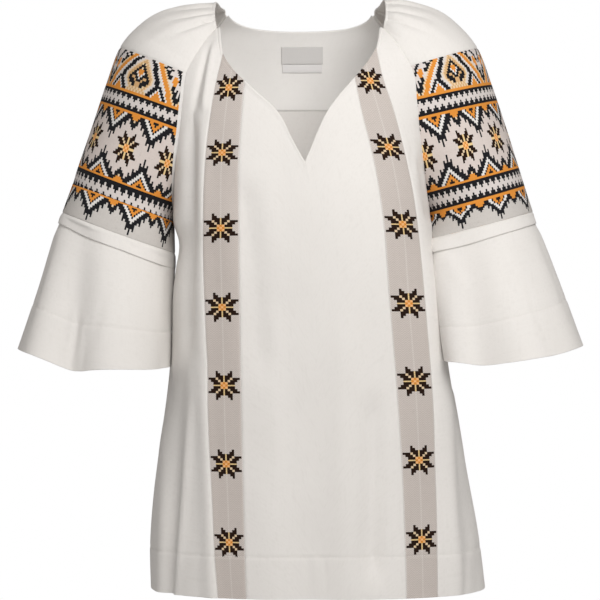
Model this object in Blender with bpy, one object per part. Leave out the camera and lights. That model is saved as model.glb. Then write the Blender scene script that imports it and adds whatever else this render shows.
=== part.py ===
"""Embroidered folk blouse, worn shape with nobody in it.

The blouse stands as it is worn: hollow body, open neck, two wide sleeves. Every cut piece is a thin
wall on one of two smooth surfaces, the body and the sleeve. Both surfaces are worked out from short
tables of sizes in millimetres, and the walls are written in metres. +Z is up, the front looks to -Y,
+X is to the viewer's right, and the origin lies between the neck points of the shoulders.
"left" and "right" are the viewer's.
"""

import bmesh
import bpy
import numpy as np

METRE = 0.001            # tables are in millimetres

# driving sizes
CLOTH = 1.5              # wall of the single cloth
HEM_CLOTH = 3.0          # wall where the hem is turned up
SEAM = 0.3               # clear width between two pieces at a seam
SLEEVE_CLEAR = 0.4       # the sleeve starts this far outside the raglan seam
HEM_Z = -653.0           # lower edge of the body
HEM_DEEP = 45.0          # depth of the turned hem, body and sleeve
HEM_STEP = 1.5           # height over which the wall thickens at the hem's top
UNDERARM_Z = -246.0
BACK_NECK_Z = -8.0       # back neckline at the raglan seams
BACK_NECK_DIP = 17.0     # how much lower it lies at the middle
BACK_NECK_SQUARE = 3.2   # how flat that dip is along its middle
BACK_NECK_FADE = 100.0   # the back's rows run level again this far below the neck
FRONT_NECK_Z = -33.0     # front neckline at the raglan seams
FRONT_NECK_HALF = 87.5
NECK_TIP_X = 5.4         # lower tip of the V slit
NECK_CURVE = 1.3         # how much the neckline of a side front curves in
FACING_Z = -113.0        # straight lower edge of the back neck facing
FACING_CLOTH = 1.2
FACING_INSET = 0.03      # angle by which the facing stops short of each raglan seam
LIE = 0.5                # what lies on a panel is this far from it
LABEL = {"x": 2.5, "top": -40.2, "bottom": -59.4, "wide": 48.0, "thick": 0.8}
TAB = {"x": 2.5, "top": -59.9, "bottom": -69.2, "wide": 46.0, "thick": 0.6}

# rows of the sleeve, counted down the arm
ROW_PANEL = 4.0
ROW_UNDERARM = 8.0
ROW_TUCK = 9.0
ROW_TUCK_END = 10.0
ROW_HEM = 12.0

# columns of each piece's grid
COLUMNS = {"centre_half": 6, "band": 2, "side": 5, "back": 22, "head": 32, "lower_sleeve": 24,
           "facing": 14, "label": 4}
FACING_ROWS = 11
NECK_STEPS = 3           # rows of a side front along the neckline
FRONT_STEPS = 20         # rows of the front from the neckline to the hem's top
SLEEVE_STEP = 0.5        # rows of the raglan seams
HALF_SEAM_ROW = 0.008    # half a seam's width, as a part of a sleeve row

END_ROOM = 0.1           # a table's curves go on this part of a row past its ends
NECK_TRIES = 40          # steps in the search for a band's corner on the neckline
NECK_START_Z = -80.0     # where that search starts
HEART_X = 20.0           # a point well inside the body at every height
SEAMS_MEET = 0.5         # raglan seams closer than this are one underarm line
DEEPER = 1.002           # a sleeve is at least this much deeper than its seams are apart

# how folds, pleats and flutes fade
FOLD_FADE = 5.0          # a body fold rises to its full height over a fifth of its length
FOLD_START = 0.2         # part of that rise which it has at its very end
BODY_EDGE = 0.15         # angle beside a seam of the body over which folds die away
SLEEVE_EDGE = 0.08       # the same on a sleeve, as a part of half the way round
PLEAT_AT_NECK = 0.45     # part of its height that a pleat has on the neckline
PLEAT_FULL_ROW = 0.5     # row by which it has all of it
PLEAT_FALL = 0.8         # how soon it falls below that
PLEAT_WIDE = 6.5         # half width of a pleat, in degrees
FLUTE_GROWTH = 1.3       # how late a flute grows


class Table:
    """Sizes in named columns. Between its rows a column follows a smooth curve through them."""

    def __init__(self, names, rows):
        values = np.array(rows, float)
        self.names = names.split()
        self.values = values[np.argsort(values[:, 0])]

    def read(self, name, at):
        """Cubic curve with the slope at each row taken from its two neighbours."""
        key = self.values[:, 0]
        column = self.values[:, self.names.index(name)]
        slope = np.gradient(column, key)
        at = np.asarray(at, float)
        low = np.clip(np.searchsorted(key, at, side="right") - 1, 0, len(key) - 2)
        span = key[low + 1] - key[low]
        t = np.clip((at - key[low]) / span, -END_ROOM, 1 + END_ROOM)
        ease = t * t * (3 - 2 * t)
        bend = (t ** 3 - 2 * t * t + t) * slope[low] + (t ** 3 - t * t) * slope[low + 1]
        return column[low] * (1 - ease) + column[low + 1] * ease + span * bend


# body: half sections from edge to edge. left, right and seam_y are the two edges: the raglan seam
# above the underarm, the side seam below it. mid_y is the middle of the panel, turn the angle at
# which its edge is cut from a full half round, square how square that half round is.
FRONT = Table("z left right seam_y mid_y turn square", [
    (-30, -89.0, 89.0, -42, -60, 46, 2.2),
    (-46, -101.5, 101.5, -58, -73, 48, 2.2),
    (-60, -110.5, 110.5, -66, -82, 50, 2.2),
    (-84, -123.0, 123.0, -72, -94, 50, 2.3),
    (-115, -127.5, 127.0, -75, -104, 53, 2.5),
    (-150, -131.5, 130.5, -71, -113, 59, 2.7),
    (-190, -137.0, 136.0, -57, -121, 68, 2.9),
    (-225, -140.0, 141.0, -30, -125, 80, 3.1),
    (-246, -140.6, 143.0, 0, -126, 90, 3.2),
    (-268, -134.5, 143.5, 4, -126, 90, 3.2),
    (-300, -136.5, 149.0, 8, -125, 90, 3.2),
    (-350, -141.0, 158.5, 12, -122, 90, 3.1),
    (-408, -146.3, 167.0, 14, -120, 90, 2.9),
    (-450, -150.5, 175.0, 14, -119, 90, 2.8),
    (-502, -157.5, 183.7, 13, -119, 90, 2.6),
    (-549, -163.7, 192.0, 12, -120, 90, 2.5),
    (-600, -167.6, 200.0, 10, -121, 90, 2.5),
    (-656, -166.5, 207.3, 10, -123, 90, 2.5),
])
BACK = Table("z left right seam_y mid_y turn square", [
    (-5, -81.0, 81.0, 36, 58, 48, 2.2),
    (-22, -97.0, 97.0, 58, 70, 48, 2.2),
    (-42, -108.0, 108.0, 71, 80, 50, 2.2),
    (-80, -121.0, 121.0, 83, 95, 50, 2.3),
    (-120, -128.0, 128.0, 87, 104, 54, 2.4),
    (-160, -133.0, 132.5, 81, 109, 61, 2.5),
    (-200, -137.5, 137.5, 60, 110, 74, 2.5),
    (-228, -140.2, 141.2, 30, 109, 83, 2.5),
    (-246, -140.6, 143.0, 0, 108, 90, 2.5),
    (-268, -134.5, 143.5, 4, 106, 90, 2.5),
    (-300, -136.5, 149.0, 8, 105, 90, 2.5),
    (-350, -141.0, 158.5, 12, 105, 90, 2.4),
    (-408, -146.3, 167.0, 14, 108, 90, 2.4),
    (-450, -150.5, 175.0, 14, 111, 90, 2.4),
    (-502, -157.5, 183.7, 13, 115, 90, 2.4),
    (-549, -163.7, 192.0, 12, 119, 90, 2.4),
    (-600, -167.6, 200.0, 10, 122, 90, 2.4),
    (-656, -166.5, 207.3, 10, 124, 90, 2.4),
])

# neckline of the front, from the V's tip outwards
NECK_LEFT = Table("out z", [
    (0, -185.0), (7.5, -172.0), (16, -156.0), (23.7, -138.0), (32.3, -126.0), (46.3, -114.5),
    (57, -104.5), (67, -94.5), (79, -79.0), (89.3, -65.0), (95, -55.0),
])
NECK_RIGHT = Table("out z", [
    (0, -185.0), (6.4, -169.5), (13.9, -151.0), (21.5, -134.5), (32.3, -118.0), (43.2, -104.5),
    (53, -93.0), (61.7, -82.0), (70.7, -69.5), (78.3, -57.0), (86, -44.0),
])

# edges of the patterned bands, as x at each height
BAND_LEFT = Table("z outer inner", [
    (-50, -80.5, -56.0), (-107, -93.0, -60.8), (-153, -99.0, -64.0), (-195, -101.9, -65.8),
    (-257, -102.8, -65.6), (-331, -101.3, -64.9), (-430, -98.2, -62.9), (-498, -96.2, -61.6),
    (-550, -93.6, -60.2), (-613, -90.5, -58.5), (-656, -87.3, -57.1),
])
BAND_RIGHT = Table("z outer inner", [
    (-50, 82.0, 50.0), (-91, 90.0, 58.5), (-128, 102.0, 65.8), (-182, 115.6, 78.8),
    (-242, 125.1, 88.5), (-331, 133.5, 95.6), (-415, 140.8, 103.1), (-500, 145.2, 108.9),
    (-551, 147.5, 111.6), (-610, 148.4, 113.3), (-656, 148.7, 113.9),
])

# sleeves, a row for each line round the arm. front_z and back_z are where that line meets the
# raglan seams. ridge is the outermost point. inner is the underarm line, below the underarm.
# mid_y moves the line forwards, depth is half its width front to back, drop lowers its front and back.
SLEEVE_COLUMNS = "row front_z back_z ridge_out ridge_z inner_out inner_z mid_y depth drop"
SLEEVES = {
    "left": Table(SLEEVE_COLUMNS, [
        (0, -33, -8, 96.0, 0.0, 140.6, -246, -2, 44, 0),
        (1, -46, -20, 124.0, -3.0, 140.6, -246, -1, 58, 0),
        (2, -60, -40, 155.0, -10.0, 140.6, -246, 2, 68, 0),
        (3, -72, -58, 180.0, -25.5, 140.6, -246, 4, 74, 0),
        (4, -86, -80, 201.6, -50.5, 140.6, -246, 5, 78, 0),
        (5, -128, -122, 218.0, -92.4, 140.6, -246, 6, 81, 0),
        (6, -177, -172, 233.0, -138.0, 140.6, -246, 6, 77, 0),
        (7, -225, -222, 248.3, -183.0, 140.6, -246, 2, 70, 0),
        (8, -246, -246, 254.5, -203.7, 140.6, -246, 0, 66, 0),
        (9, -246, -246, 266.6, -235.5, 139.8, -281, -13, 65, 1),
        (10, -246, -246, 271.4, -247.6, 139.6, -299, -18, 65, 2),
        (11, -246, -246, 293.0, -318.5, 141.0, -353, -34, 72, 5),
        (12, -246, -246, 316.6, -385.7, 145.5, -404, -46, 79, 9),
    ]),
    "right": Table(SLEEVE_COLUMNS, [
        (0, -33, -8, 94.5, 2.5, 143.0, -246, -2, 44, 0),
        (1, -44, -19, 117.0, 2.0, 143.0, -246, -1, 57, 0),
        (2, -56, -37, 152.0, -8.0, 143.0, -246, 2, 67, 0),
        (3, -67, -54, 176.4, -24.5, 143.0, -246, 4, 73, 0),
        (4, -78, -72, 198.9, -51.3, 143.0, -246, 5, 77, 0),
        (5, -115, -110, 215.3, -92.0, 143.0, -246, 6, 80, 0),
        (6, -167, -162, 230.7, -138.3, 143.0, -246, 6, 78, 0),
        (7, -215, -212, 245.0, -184.7, 143.0, -246, 2, 70, 0),
        (8, -246, -246, 254.5, -216.4, 143.0, -246, 0, 66, 0),
        (9, -246, -246, 260.2, -235.1, 148.5, -266, -12, 65, 1),
        (10, -246, -246, 264.4, -247.9, 152.0, -282, -18, 65, 2),
        (11, -246, -246, 288.4, -309.1, 157.5, -342, -34, 72, 5),
        (12, -246, -246, 316.4, -381.9, 165.5, -397, -46, 79, 9),
    ]),
}
OUTWARDS = {"left": -1.0, "right": 1.0}

# largest folds of the body: x_top z_top x_end z_end wide high_top high_end.
# wide is the fold's half width, and high its height at either end, below zero for a trough
FRONT_FOLDS = [
    (-105, -70, -103, -650, 13, 2.5, 4.5),
    (-117, -110, -117, -400, 9, -5.0, -4.0),
    (-117, -390, -147, -690, 9, -4.0, -9.0),
    (-120, -430, -135, -690, 6, 1.0, 5.5),
    (126, -150, 149, -690, 12, 5.0, 8.0),
    (-61, -200, -40, -420, 16, -3.5, -1.5),
    (92, -430, 92, -640, 16, -2.0, -4.0),
    (20, -400, 12, -690, 26, -1.0, -3.5),
    (185, -500, 182, -690, 8, -1.0, -4.0),
]
BACK_FOLDS = [
    (-96, -200, -110, -690, 18, 1.0, 6.0),
    (-52, -300, -60, -690, 18, -1.0, -5.5),
    (0, -120, 8, -690, 24, 0.5, 4.5),
    (62, -300, 78, -690, 18, -1.0, -5.5),
    (104, -200, 138, -690, 18, 1.0, 6.0),
]

# soft flutes of the lower sleeve: angle_top angle_end row_top wide high. Angles run round it from
# the outermost point, front below zero. A flute starts at a row and is full height at the hem
FLUTES = {
    "left": [(-38, -38, 9.5, 16, 3.5), (-70, -76, 9.3, 16, -6.5), (-112, -117, 9.3, 22, 4.5),
             (-156, -156, 9.5, 12, -3.0), (48, 44, 9.5, 18, 3.5), (86, 84, 9.3, 17, -5.5),
             (124, 126, 9.5, 18, 4.0)],
    "right": [(-36, -36, 9.5, 16, 3.0), (-66, -70, 9.4, 14, -4.0), (-96, -98, 9.3, 16, 3.5),
              (-128, -130, 9.3, 15, -5.0), (-158, -158, 9.5, 12, 2.5), (48, 46, 9.5, 18, 3.5),
              (88, 86, 9.3, 17, -5.5), (126, 126, 9.5, 18, 4.0)],
}

# pleats of the sleeve heads where they are gathered into the neck: angle_neck angle_end row_end high
PLEATS = [(-80, -70, 3.2, 2.4), (-57, -50, 3.8, 3.0), (-34, -30, 3.0, 2.6), (-12, -11, 2.4, 2.2),
          (14, 12, 2.4, 2.2), (38, 33, 3.0, 2.6), (61, 53, 3.6, 2.8), (83, 72, 3.0, 2.4)]


def join(x, y, z):
    """Points from three arrays of coordinates."""
    return np.stack(np.broadcast_arrays(x, y, z), axis=-1).astype(float)


def mix(start, end, part):
    """Straight line from start to end."""
    return start + (end - start) * part


def bump(distance, wide):
    """Bell of height 1 and half width wide."""
    return np.exp(-(distance / wide) ** 2)


def normals(surface, a, b, heart):
    """Unit normals of surface(a, b), from two small steps across it, turned away from heart."""
    small = 1e-3
    along_a = surface(a + small, b) - surface(a - small, b)
    along_b = surface(a, b + small) - surface(a, b - small)
    normal = np.cross(along_a, along_b)
    normal /= np.linalg.norm(normal, axis=-1, keepdims=True)
    away = np.sum(normal * (surface(a, b) - heart(a, b)), axis=-1, keepdims=True)
    return np.where(away < 0, -normal, normal)


def half_round(angle, square):
    """Radius of the rounded square |sin|^n + |cos|^n = 1 at an angle from its middle."""
    return (np.abs(np.sin(angle)) ** square + np.abs(np.cos(angle)) ** square) ** (-1 / square)


def section(table, z):
    """Middle and reach of a half section of the body at height z."""
    left = table.read("left", z)
    right = table.read("right", z)
    square = table.read("square", z)
    turn = np.radians(table.read("turn", z))
    reach = half_round(turn, square)
    across = (right - left) / 2 / (reach * np.sin(turn))
    share = reach * np.cos(turn)
    mid_y = table.read("mid_y", z)
    centre_y = (table.read("seam_y", z) - mid_y * share) / (1 - share)
    return (left + right) / 2, centre_y, across, mid_y - centre_y, square, turn


def smooth_body(table):
    """Body without folds: angle runs round a half section from its middle, z is the height."""
    def surface(angle, z):
        centre_x, centre_y, across, deep, square, _ = section(table, z)
        radius = half_round(angle, square)
        return join(centre_x + across * radius * np.sin(angle),
                    centre_y + deep * radius * np.cos(angle), z)
    return surface


def angle_at(table, x, z):
    """Angle of the point of a half section that lies at x."""
    centre_x, _, across, _, square, _ = section(table, z)
    part = np.clip((x - centre_x) / across, -1, 1)
    rest = (1 - np.abs(part) ** square) ** (1 / square)
    return np.arctan2(part, rest)


def body_heart(angle, z):
    """Point inside the body at height z."""
    return join(HEART_X + 0 * angle, 0.0, z)


def fold_height(folds, x, z):
    """Sum of the folds at (x, z): each is a bell across a slanting line, fading in at its top."""
    total = np.zeros(np.broadcast(x, z).shape)
    for x_top, z_top, x_end, z_end, wide, high_top, high_end in folds:
        part = (z_top - z) / (z_top - z_end)
        fade = np.clip(part * FOLD_FADE + FOLD_START, 0, 1)
        fade = fade * np.clip((1 - part) * FOLD_FADE + FOLD_START, 0, 1)
        line = mix(x_top, x_end, np.clip(part, 0, 1))
        height = mix(high_top, high_end, np.clip(part, 0, 1))
        total = total + height * fade * fade * (3 - 2 * fade) * bump(x - line, wide)
    return total


def body(table, folds):
    """Body with its folds, each point moved along the smooth body's normal."""
    smooth = smooth_body(table)

    def surface(angle, z):
        points = smooth(angle, z)
        _, _, _, _, _, turn = section(table, z)
        edge = np.clip((turn - np.abs(angle)) / BODY_EDGE, 0, 1)
        height = fold_height(folds, points[..., 0], z) * edge
        return points + normals(smooth, angle, z, body_heart) * height[..., None]
    return surface


front_surface = body(FRONT, FRONT_FOLDS)
back_surface = body(BACK, BACK_FOLDS)


def sleeve_line(side, row):
    """Centre, reaches and directions of the line round the sleeve at a row."""
    table = SLEEVES[side]
    out = OUTWARDS[side]

    def seam(body_table, column):
        z = table.read(column, row)
        x = body_table.read(side, z) + out * SLEEVE_CLEAR
        return join(x, body_table.read("seam_y", z), z)

    below = (row > ROW_UNDERARM)[..., None]
    mid_y = table.read("mid_y", row)
    inner = join(out * (table.read("inner_out", row) + SLEEVE_CLEAR), mid_y,
                 table.read("inner_z", row))
    front = np.where(below, inner, seam(FRONT, "front_z"))
    back = np.where(below, inner, seam(BACK, "back_z"))
    ridge = join(out * table.read("ridge_out", row), mid_y, table.read("ridge_z", row))
    middle = (front + back) / 2
    chord = back - front
    half = np.linalg.norm(chord, axis=-1) / 2
    met = (half < SEAMS_MEET)[..., None]
    backwards = np.where(met, [0.0, 1.0, 0.0], chord / np.maximum(half, SEAMS_MEET)[..., None] / 2)
    reach = np.linalg.norm(ridge - middle, axis=-1)
    outwards = (ridge - middle) / reach[..., None]
    deep = np.maximum(table.read("depth", row), half * DEEPER)
    turn = np.pi - np.arcsin(half / deep)
    wide = reach / (1 - np.cos(turn))
    centre = middle - (wide * np.cos(turn))[..., None] * outwards
    return centre, wide, deep, turn, outwards, backwards


def smooth_sleeve(side):
    """Sleeve without folds: part runs round the arm from -1, the front seam, to 1, the back one."""
    def surface(part, row):
        centre, wide, deep, turn, outwards, backwards = sleeve_line(side, row)
        angle = part * turn
        points = centre + (wide * np.cos(angle))[..., None] * outwards
        points = points + (deep * np.sin(angle))[..., None] * backwards
        points[..., 2] -= SLEEVES[side].read("drop", row) * np.sin(angle) ** 2
        return points
    return surface


def sleeve(side):
    """Sleeve with the pleats of its head and the flutes of its flare."""
    smooth = smooth_sleeve(side)

    def heart(part, row):
        return sleeve_line(side, row)[0]

    def surface(part, row):
        turn = sleeve_line(side, row)[3]
        angle = np.degrees(part * turn)
        height = np.zeros(angle.shape)
        for angle_neck, angle_end, row_end, high in PLEATS:
            line = mix(angle_neck, angle_end, np.clip(row / row_end, 0, 1))
            rise = mix(PLEAT_AT_NECK, 1, np.clip(row / PLEAT_FULL_ROW, 0, 1))
            fade = np.clip(1 - row / row_end, 0, 1) ** PLEAT_FALL
            height = height + high * rise * fade * bump(angle - line, PLEAT_WIDE)
        for angle_top, angle_end, row_top, wide, high in FLUTES[side]:
            down = np.clip((row - row_top) / (ROW_HEM - row_top), 0, 1)
            line = mix(angle_top, angle_end, down)
            height = height + high * down ** FLUTE_GROWTH * bump(angle - line, wide)
        edge = np.clip((1 - np.abs(part)) / SLEEVE_EDGE, 0, 1)
        return smooth(part, row) + normals(smooth, part, row, heart) * (height * edge)[..., None]
    return surface, heart


def wall_mesh(name, outer, inner):
    """Closed wall between two grids of points, both cut into triangles the same way."""
    rows, columns = outer.shape[:2]
    points = np.concatenate([outer.reshape(-1, 3), inner.reshape(-1, 3)]) * METRE
    index = np.arange(rows * columns).reshape(rows, columns)
    far = index + rows * columns
    faces = []
    for sheet, flip in ((index, 1), (far, -1)):
        a, b, c, d = sheet[:-1, :-1], sheet[1:, :-1], sheet[1:, 1:], sheet[:-1, 1:]
        for corners in ((a, b, c), (a, c, d)):
            faces += np.stack(corners, -1).reshape(-1, 3)[:, ::flip].tolist()
    rim = np.concatenate([index[:-1, 0], index[-1, :-1], index[:0:-1, -1], index[0, :0:-1]])
    following = np.roll(rim, -1)
    shift = rows * columns
    for near, ahead in zip(rim.tolist(), following.tolist()):
        faces += [(near, near + shift, ahead + shift), (near, ahead + shift, ahead)]
    mesh = bpy.data.meshes.new(name)
    mesh.from_pydata(points.tolist(), [], faces)
    shaped = bmesh.new()
    shaped.from_mesh(mesh)
    bmesh.ops.recalc_face_normals(shaped, faces=shaped.faces)
    shaped.to_mesh(mesh)
    shaped.free()
    mesh.shade_smooth()
    mesh.set_sharp_from_angle(angle=np.radians(50))
    return mesh


def material(name, colour, roughness):
    """Cloth finish: one colour, no metal."""
    finish = bpy.data.materials.new(name)
    finish.use_nodes = True
    shader = finish.node_tree.nodes["Principled BSDF"]
    shader.inputs["Base Color"].default_value = (*colour, 1)
    shader.inputs["Roughness"].default_value = roughness
    shader.inputs["Metallic"].default_value = 0
    return finish


def cut_piece(name, surface, heart, a, b, lift, thick, finish):
    """One piece of cloth: a wall from lift above the surface down through its thickness."""
    a, b = np.broadcast_arrays(a, b)
    points = surface(a, b)
    away = normals(surface, a, b, heart)
    outer = points + away * lift
    inner = points + away * (lift - np.broadcast_to(thick, a.shape))[..., None]
    piece = bpy.data.objects.new(name, wall_mesh(name, outer, inner))
    piece.data.materials.append(finish)
    bpy.context.scene.collection.objects.link(piece)


def neckline(x):
    """Height of the front neckline at x."""
    out = np.abs(x - NECK_TIP_X)
    return np.where(x < NECK_TIP_X, NECK_LEFT.read("z", out),
                    NECK_RIGHT.read("z", out))


def neck_corner(band, edge):
    """Where a band's edge meets the neckline, found by stepping between the two curves."""
    z = NECK_START_Z
    for _ in range(NECK_TRIES):
        z = float(neckline(band.read(edge, z)))
    return z


def hang(top):
    """Heights of a column of the front, from its top to the hem."""
    hem_top = HEM_Z + HEM_DEEP
    down = np.linspace(0, 1, FRONT_STEPS + 1)[:, None]
    upper = mix(np.atleast_1d(top)[None, :], hem_top, down)
    lower = np.array([[hem_top - HEM_STEP], [HEM_Z]]) + 0 * upper[:1]
    return np.concatenate([upper, lower])


def body_thickness(z):
    """The wall is thicker in the turned hem."""
    return np.where(z < HEM_Z + HEM_DEEP - HEM_STEP / 2, HEM_CLOTH, CLOTH)


def between(name, low, high, x_top, finish):
    """Front panel between two edges given as angles at a height, its columns starting at x_top."""
    top = neckline(x_top)
    start = angle_at(FRONT, x_top, top)
    share = (start - low(top)) / (high(top) - low(top))
    z = hang(top)
    half_seam = SEAM / 2 / section(FRONT, z)[2]
    angle = mix(low(z) + half_seam, high(z) - half_seam, np.clip(share, 0, 1)[None, :])
    cut_piece(name, front_surface, body_heart, angle, z, 0.0, body_thickness(z), finish)


def edge_angle(band, edge):
    """Angle of a band's edge at a height."""
    return lambda z: angle_at(FRONT, band.read(edge, z), z)


def front_panels(white, grey):
    """Centre front and the two bands, which share their edges."""
    edges = {"left": BAND_LEFT, "right": BAND_RIGHT}
    corner = {}
    for side, band in edges.items():
        for edge in ("inner", "outer"):
            corner[side, edge] = float(band.read(edge, neck_corner(band, edge)))
    half = COLUMNS["centre_half"] + 1
    x_left = np.linspace(corner["left", "inner"], NECK_TIP_X, half)
    x_right = np.linspace(NECK_TIP_X, corner["right", "inner"], half)
    between("front_centre", edge_angle(BAND_LEFT, "inner"), edge_angle(BAND_RIGHT, "inner"),
            np.concatenate([x_left, x_right[1:]]), white)
    for side, band in edges.items():
        low, high = ("outer", "inner") if side == "left" else ("inner", "outer")
        x_top = np.linspace(corner[side, low], corner[side, high], COLUMNS["band"] + 1)
        between("front_band_" + side, edge_angle(band, low), edge_angle(band, high), x_top, grey)


def raglan_rows():
    """Rows of the raglan seams, from the neck to the underarm."""
    return np.arange(0, ROW_UNDERARM + SLEEVE_STEP / 2, SLEEVE_STEP)


def seam_heights(side, column, count):
    """Heights of the edge of a side panel: the raglan seam's rows, the side seam and the hem."""
    seam = SLEEVES[side].read(column, raglan_rows())
    hem_top = HEM_Z + HEM_DEEP
    lower = np.linspace(UNDERARM_Z, hem_top, count - len(seam) - 1)[1:]
    return np.concatenate([seam, lower, [hem_top - HEM_STEP, HEM_Z]])


def side_front(side, band, white):
    """Side front: a strip of neckline, then from the band's edge to the raglan and side seams."""
    out = OUTWARDS[side]
    corner_z = neck_corner(band, "outer")
    neck_z = np.linspace(FRONT_NECK_Z, corner_z, NECK_STEPS + 1)[:-1]
    neck_x = mix(out * FRONT_NECK_HALF, float(band.read("outer", corner_z)),
                 ((neck_z - FRONT_NECK_Z) / (corner_z - FRONT_NECK_Z)) ** NECK_CURVE)
    band_z = hang(corner_z)[:, 0]
    inner_z = np.concatenate([neck_z, band_z])
    inner_x = np.concatenate([neck_x, band.read("outer", band_z)])
    outer_z = seam_heights(side, "front_z", len(inner_z))
    part = np.linspace(0, 1, COLUMNS["side"] + 1)[None, :]
    half_seam = SEAM / 2 / section(FRONT, inner_z)[2]
    inner_angle = angle_at(FRONT, inner_x, inner_z) + out * half_seam
    outer_angle = out * (section(FRONT, outer_z)[5] - half_seam)
    angle = mix(inner_angle[:, None], outer_angle[:, None], part)
    z = mix(inner_z[:, None], outer_z[:, None], part)
    thick = body_thickness(z)
    thick[-3] = CLOTH
    cut_piece("front_side_" + side, front_surface, body_heart, angle, z, 0.0, thick, white)


def back_grid(rows_kept, columns, inset):
    """Angles and heights of the back: its top follows the neckline, its rows join both seams."""
    count = len(hang(0.0)) + NECK_STEPS
    part = np.linspace(0, 1, columns + 1)[None, :]
    left = seam_heights("left", "back_z", count)[:rows_kept, None]
    right = seam_heights("right", "back_z", count)[:rows_kept, None]
    z_edge = mix(left, right, part)
    turn_left = section(BACK, left)[5] - SEAM / 2 / section(BACK, left)[2] - inset
    turn_right = section(BACK, right)[5] - SEAM / 2 / section(BACK, right)[2] - inset
    angle = mix(-turn_left, turn_right, part)
    across = np.abs(part * 2 - 1)
    fade = np.clip(1 - (BACK_NECK_Z - z_edge) / BACK_NECK_FADE, 0, 1)
    return angle, z_edge - BACK_NECK_DIP * (1 - across ** BACK_NECK_SQUARE) * fade


def back_pieces(white, tag, tab_white):
    """Back, and what is sewn inside its neck: facing, label and size tab."""
    angle, z = back_grid(None, COLUMNS["back"], 0.0)
    thick = body_thickness(z)
    cut_piece("back", back_surface, body_heart, angle, z, 0.0, thick, white)
    angle, z = back_grid(FACING_ROWS, COLUMNS["facing"], FACING_INSET)
    facing_z = np.maximum(z, mix(z[:1], FACING_Z, np.linspace(0, 1, len(z))[:, None]))
    facing_z[-1] = FACING_Z
    cut_piece("back_neck_facing", back_surface, body_heart, angle, facing_z, -CLOTH - LIE,
              FACING_CLOTH, white)
    under = -CLOTH - LIE - FACING_CLOTH - LIE
    for name, size, finish in (("neck_label", LABEL, tag), ("size_tab", TAB, tab_white)):
        x = size["x"] + np.linspace(-0.5, 0.5, COLUMNS["label"] + 1)[None, :] * size["wide"]
        z = np.linspace(size["top"], size["bottom"], 3)[:, None] + 0 * x
        cut_piece(name, back_surface, body_heart, angle_at(BACK, x, z), z, under, size["thick"],
                  finish)


def sleeve_pieces(side, white, patterned):
    """Head, patterned panel, tuck and flare of one sleeve, each open along the underarm seam."""
    surface, heart = sleeve(side)

    def grid(rows, columns):
        """Rows and parts round the arm, stopped half a seam short at both ends."""
        rows = np.asarray(rows, float)[:, None]
        line = sleeve_line(side, rows)
        short = SEAM / 2 / (line[2] * line[3])
        part = np.linspace(-1, 1, columns + 1)[None, :] * (1 - short)
        return part, rows + 0 * part

    rows = raglan_rows()
    head = rows[rows <= ROW_PANEL].copy()
    head[-1] -= HALF_SEAM_ROW
    part, row = grid(head, COLUMNS["head"])
    cut_piece("sleeve_head_" + side, surface, heart, part, row, 0.0, CLOTH, white)

    panel = np.append(np.arange(ROW_PANEL, ROW_TUCK, SLEEVE_STEP), ROW_TUCK - HALF_SEAM_ROW)
    panel[0] += HALF_SEAM_ROW
    part, row = grid(panel, COLUMNS["lower_sleeve"])
    cut_piece("sleeve_panel_" + side, surface, heart, part, row, 0.0, CLOTH, patterned)

    top = ROW_TUCK + HALF_SEAM_ROW
    tuck = [top, ROW_TUCK + SLEEVE_STEP, ROW_TUCK_END]
    part, row = grid(tuck, COLUMNS["lower_sleeve"])
    cut_piece("sleeve_tuck_" + side, surface, heart, part, row, CLOTH + SEAM, CLOTH, white)

    last = sleeve_line(side, np.array([ROW_HEM - 1, ROW_HEM]))[0]
    row_long = np.linalg.norm(last[1] - last[0])
    hem_row = ROW_HEM - HEM_DEEP / row_long
    below = [ROW_TUCK_END + SLEEVE_STEP, ROW_TUCK_END + 2 * SLEEVE_STEP]
    flare = tuck + below + [hem_row, hem_row + HEM_STEP / row_long, ROW_HEM]
    part, row = grid(flare, COLUMNS["lower_sleeve"])
    thick = np.where(row > hem_row + HEM_STEP / row_long / 2, HEM_CLOTH, CLOTH)
    cut_piece("sleeve_flare_" + side, surface, heart, part, row, 0.0, thick, white)


def main():
    for old in list(bpy.data.objects):
        bpy.data.objects.remove(old, do_unlink=True)
    white = material("white_cloth", (0.86, 0.85, 0.82), 0.85)
    grey = material("band_cloth", (0.58, 0.54, 0.50), 0.85)
    patterned = material("patterned_cloth", (0.42, 0.33, 0.24), 0.85)
    tag = material("label_cloth", (0.55, 0.55, 0.55), 0.7)
    tab_white = material("tab_cloth", (0.88, 0.88, 0.88), 0.7)
    front_panels(white, grey)
    side_front("left", BAND_LEFT, white)
    side_front("right", BAND_RIGHT, white)
    back_pieces(white, tag, tab_white)
    for side in SLEEVES:
        sleeve_pieces(side, white, patterned)


main()
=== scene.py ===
# %% [markdown]
# # An embroidered folk blouse
# The blouse stands as it is worn, with nobody in it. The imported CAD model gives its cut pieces
# as thick walls. Here each wall is replaced by a thin sheet of cloth on the same form, with the
# finer creases, seams, stitches and counted patterns that a photograph shows. Working on the
# CAD's own surfaces keeps every piece in its place, so that nothing has to be fitted by eye.

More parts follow.
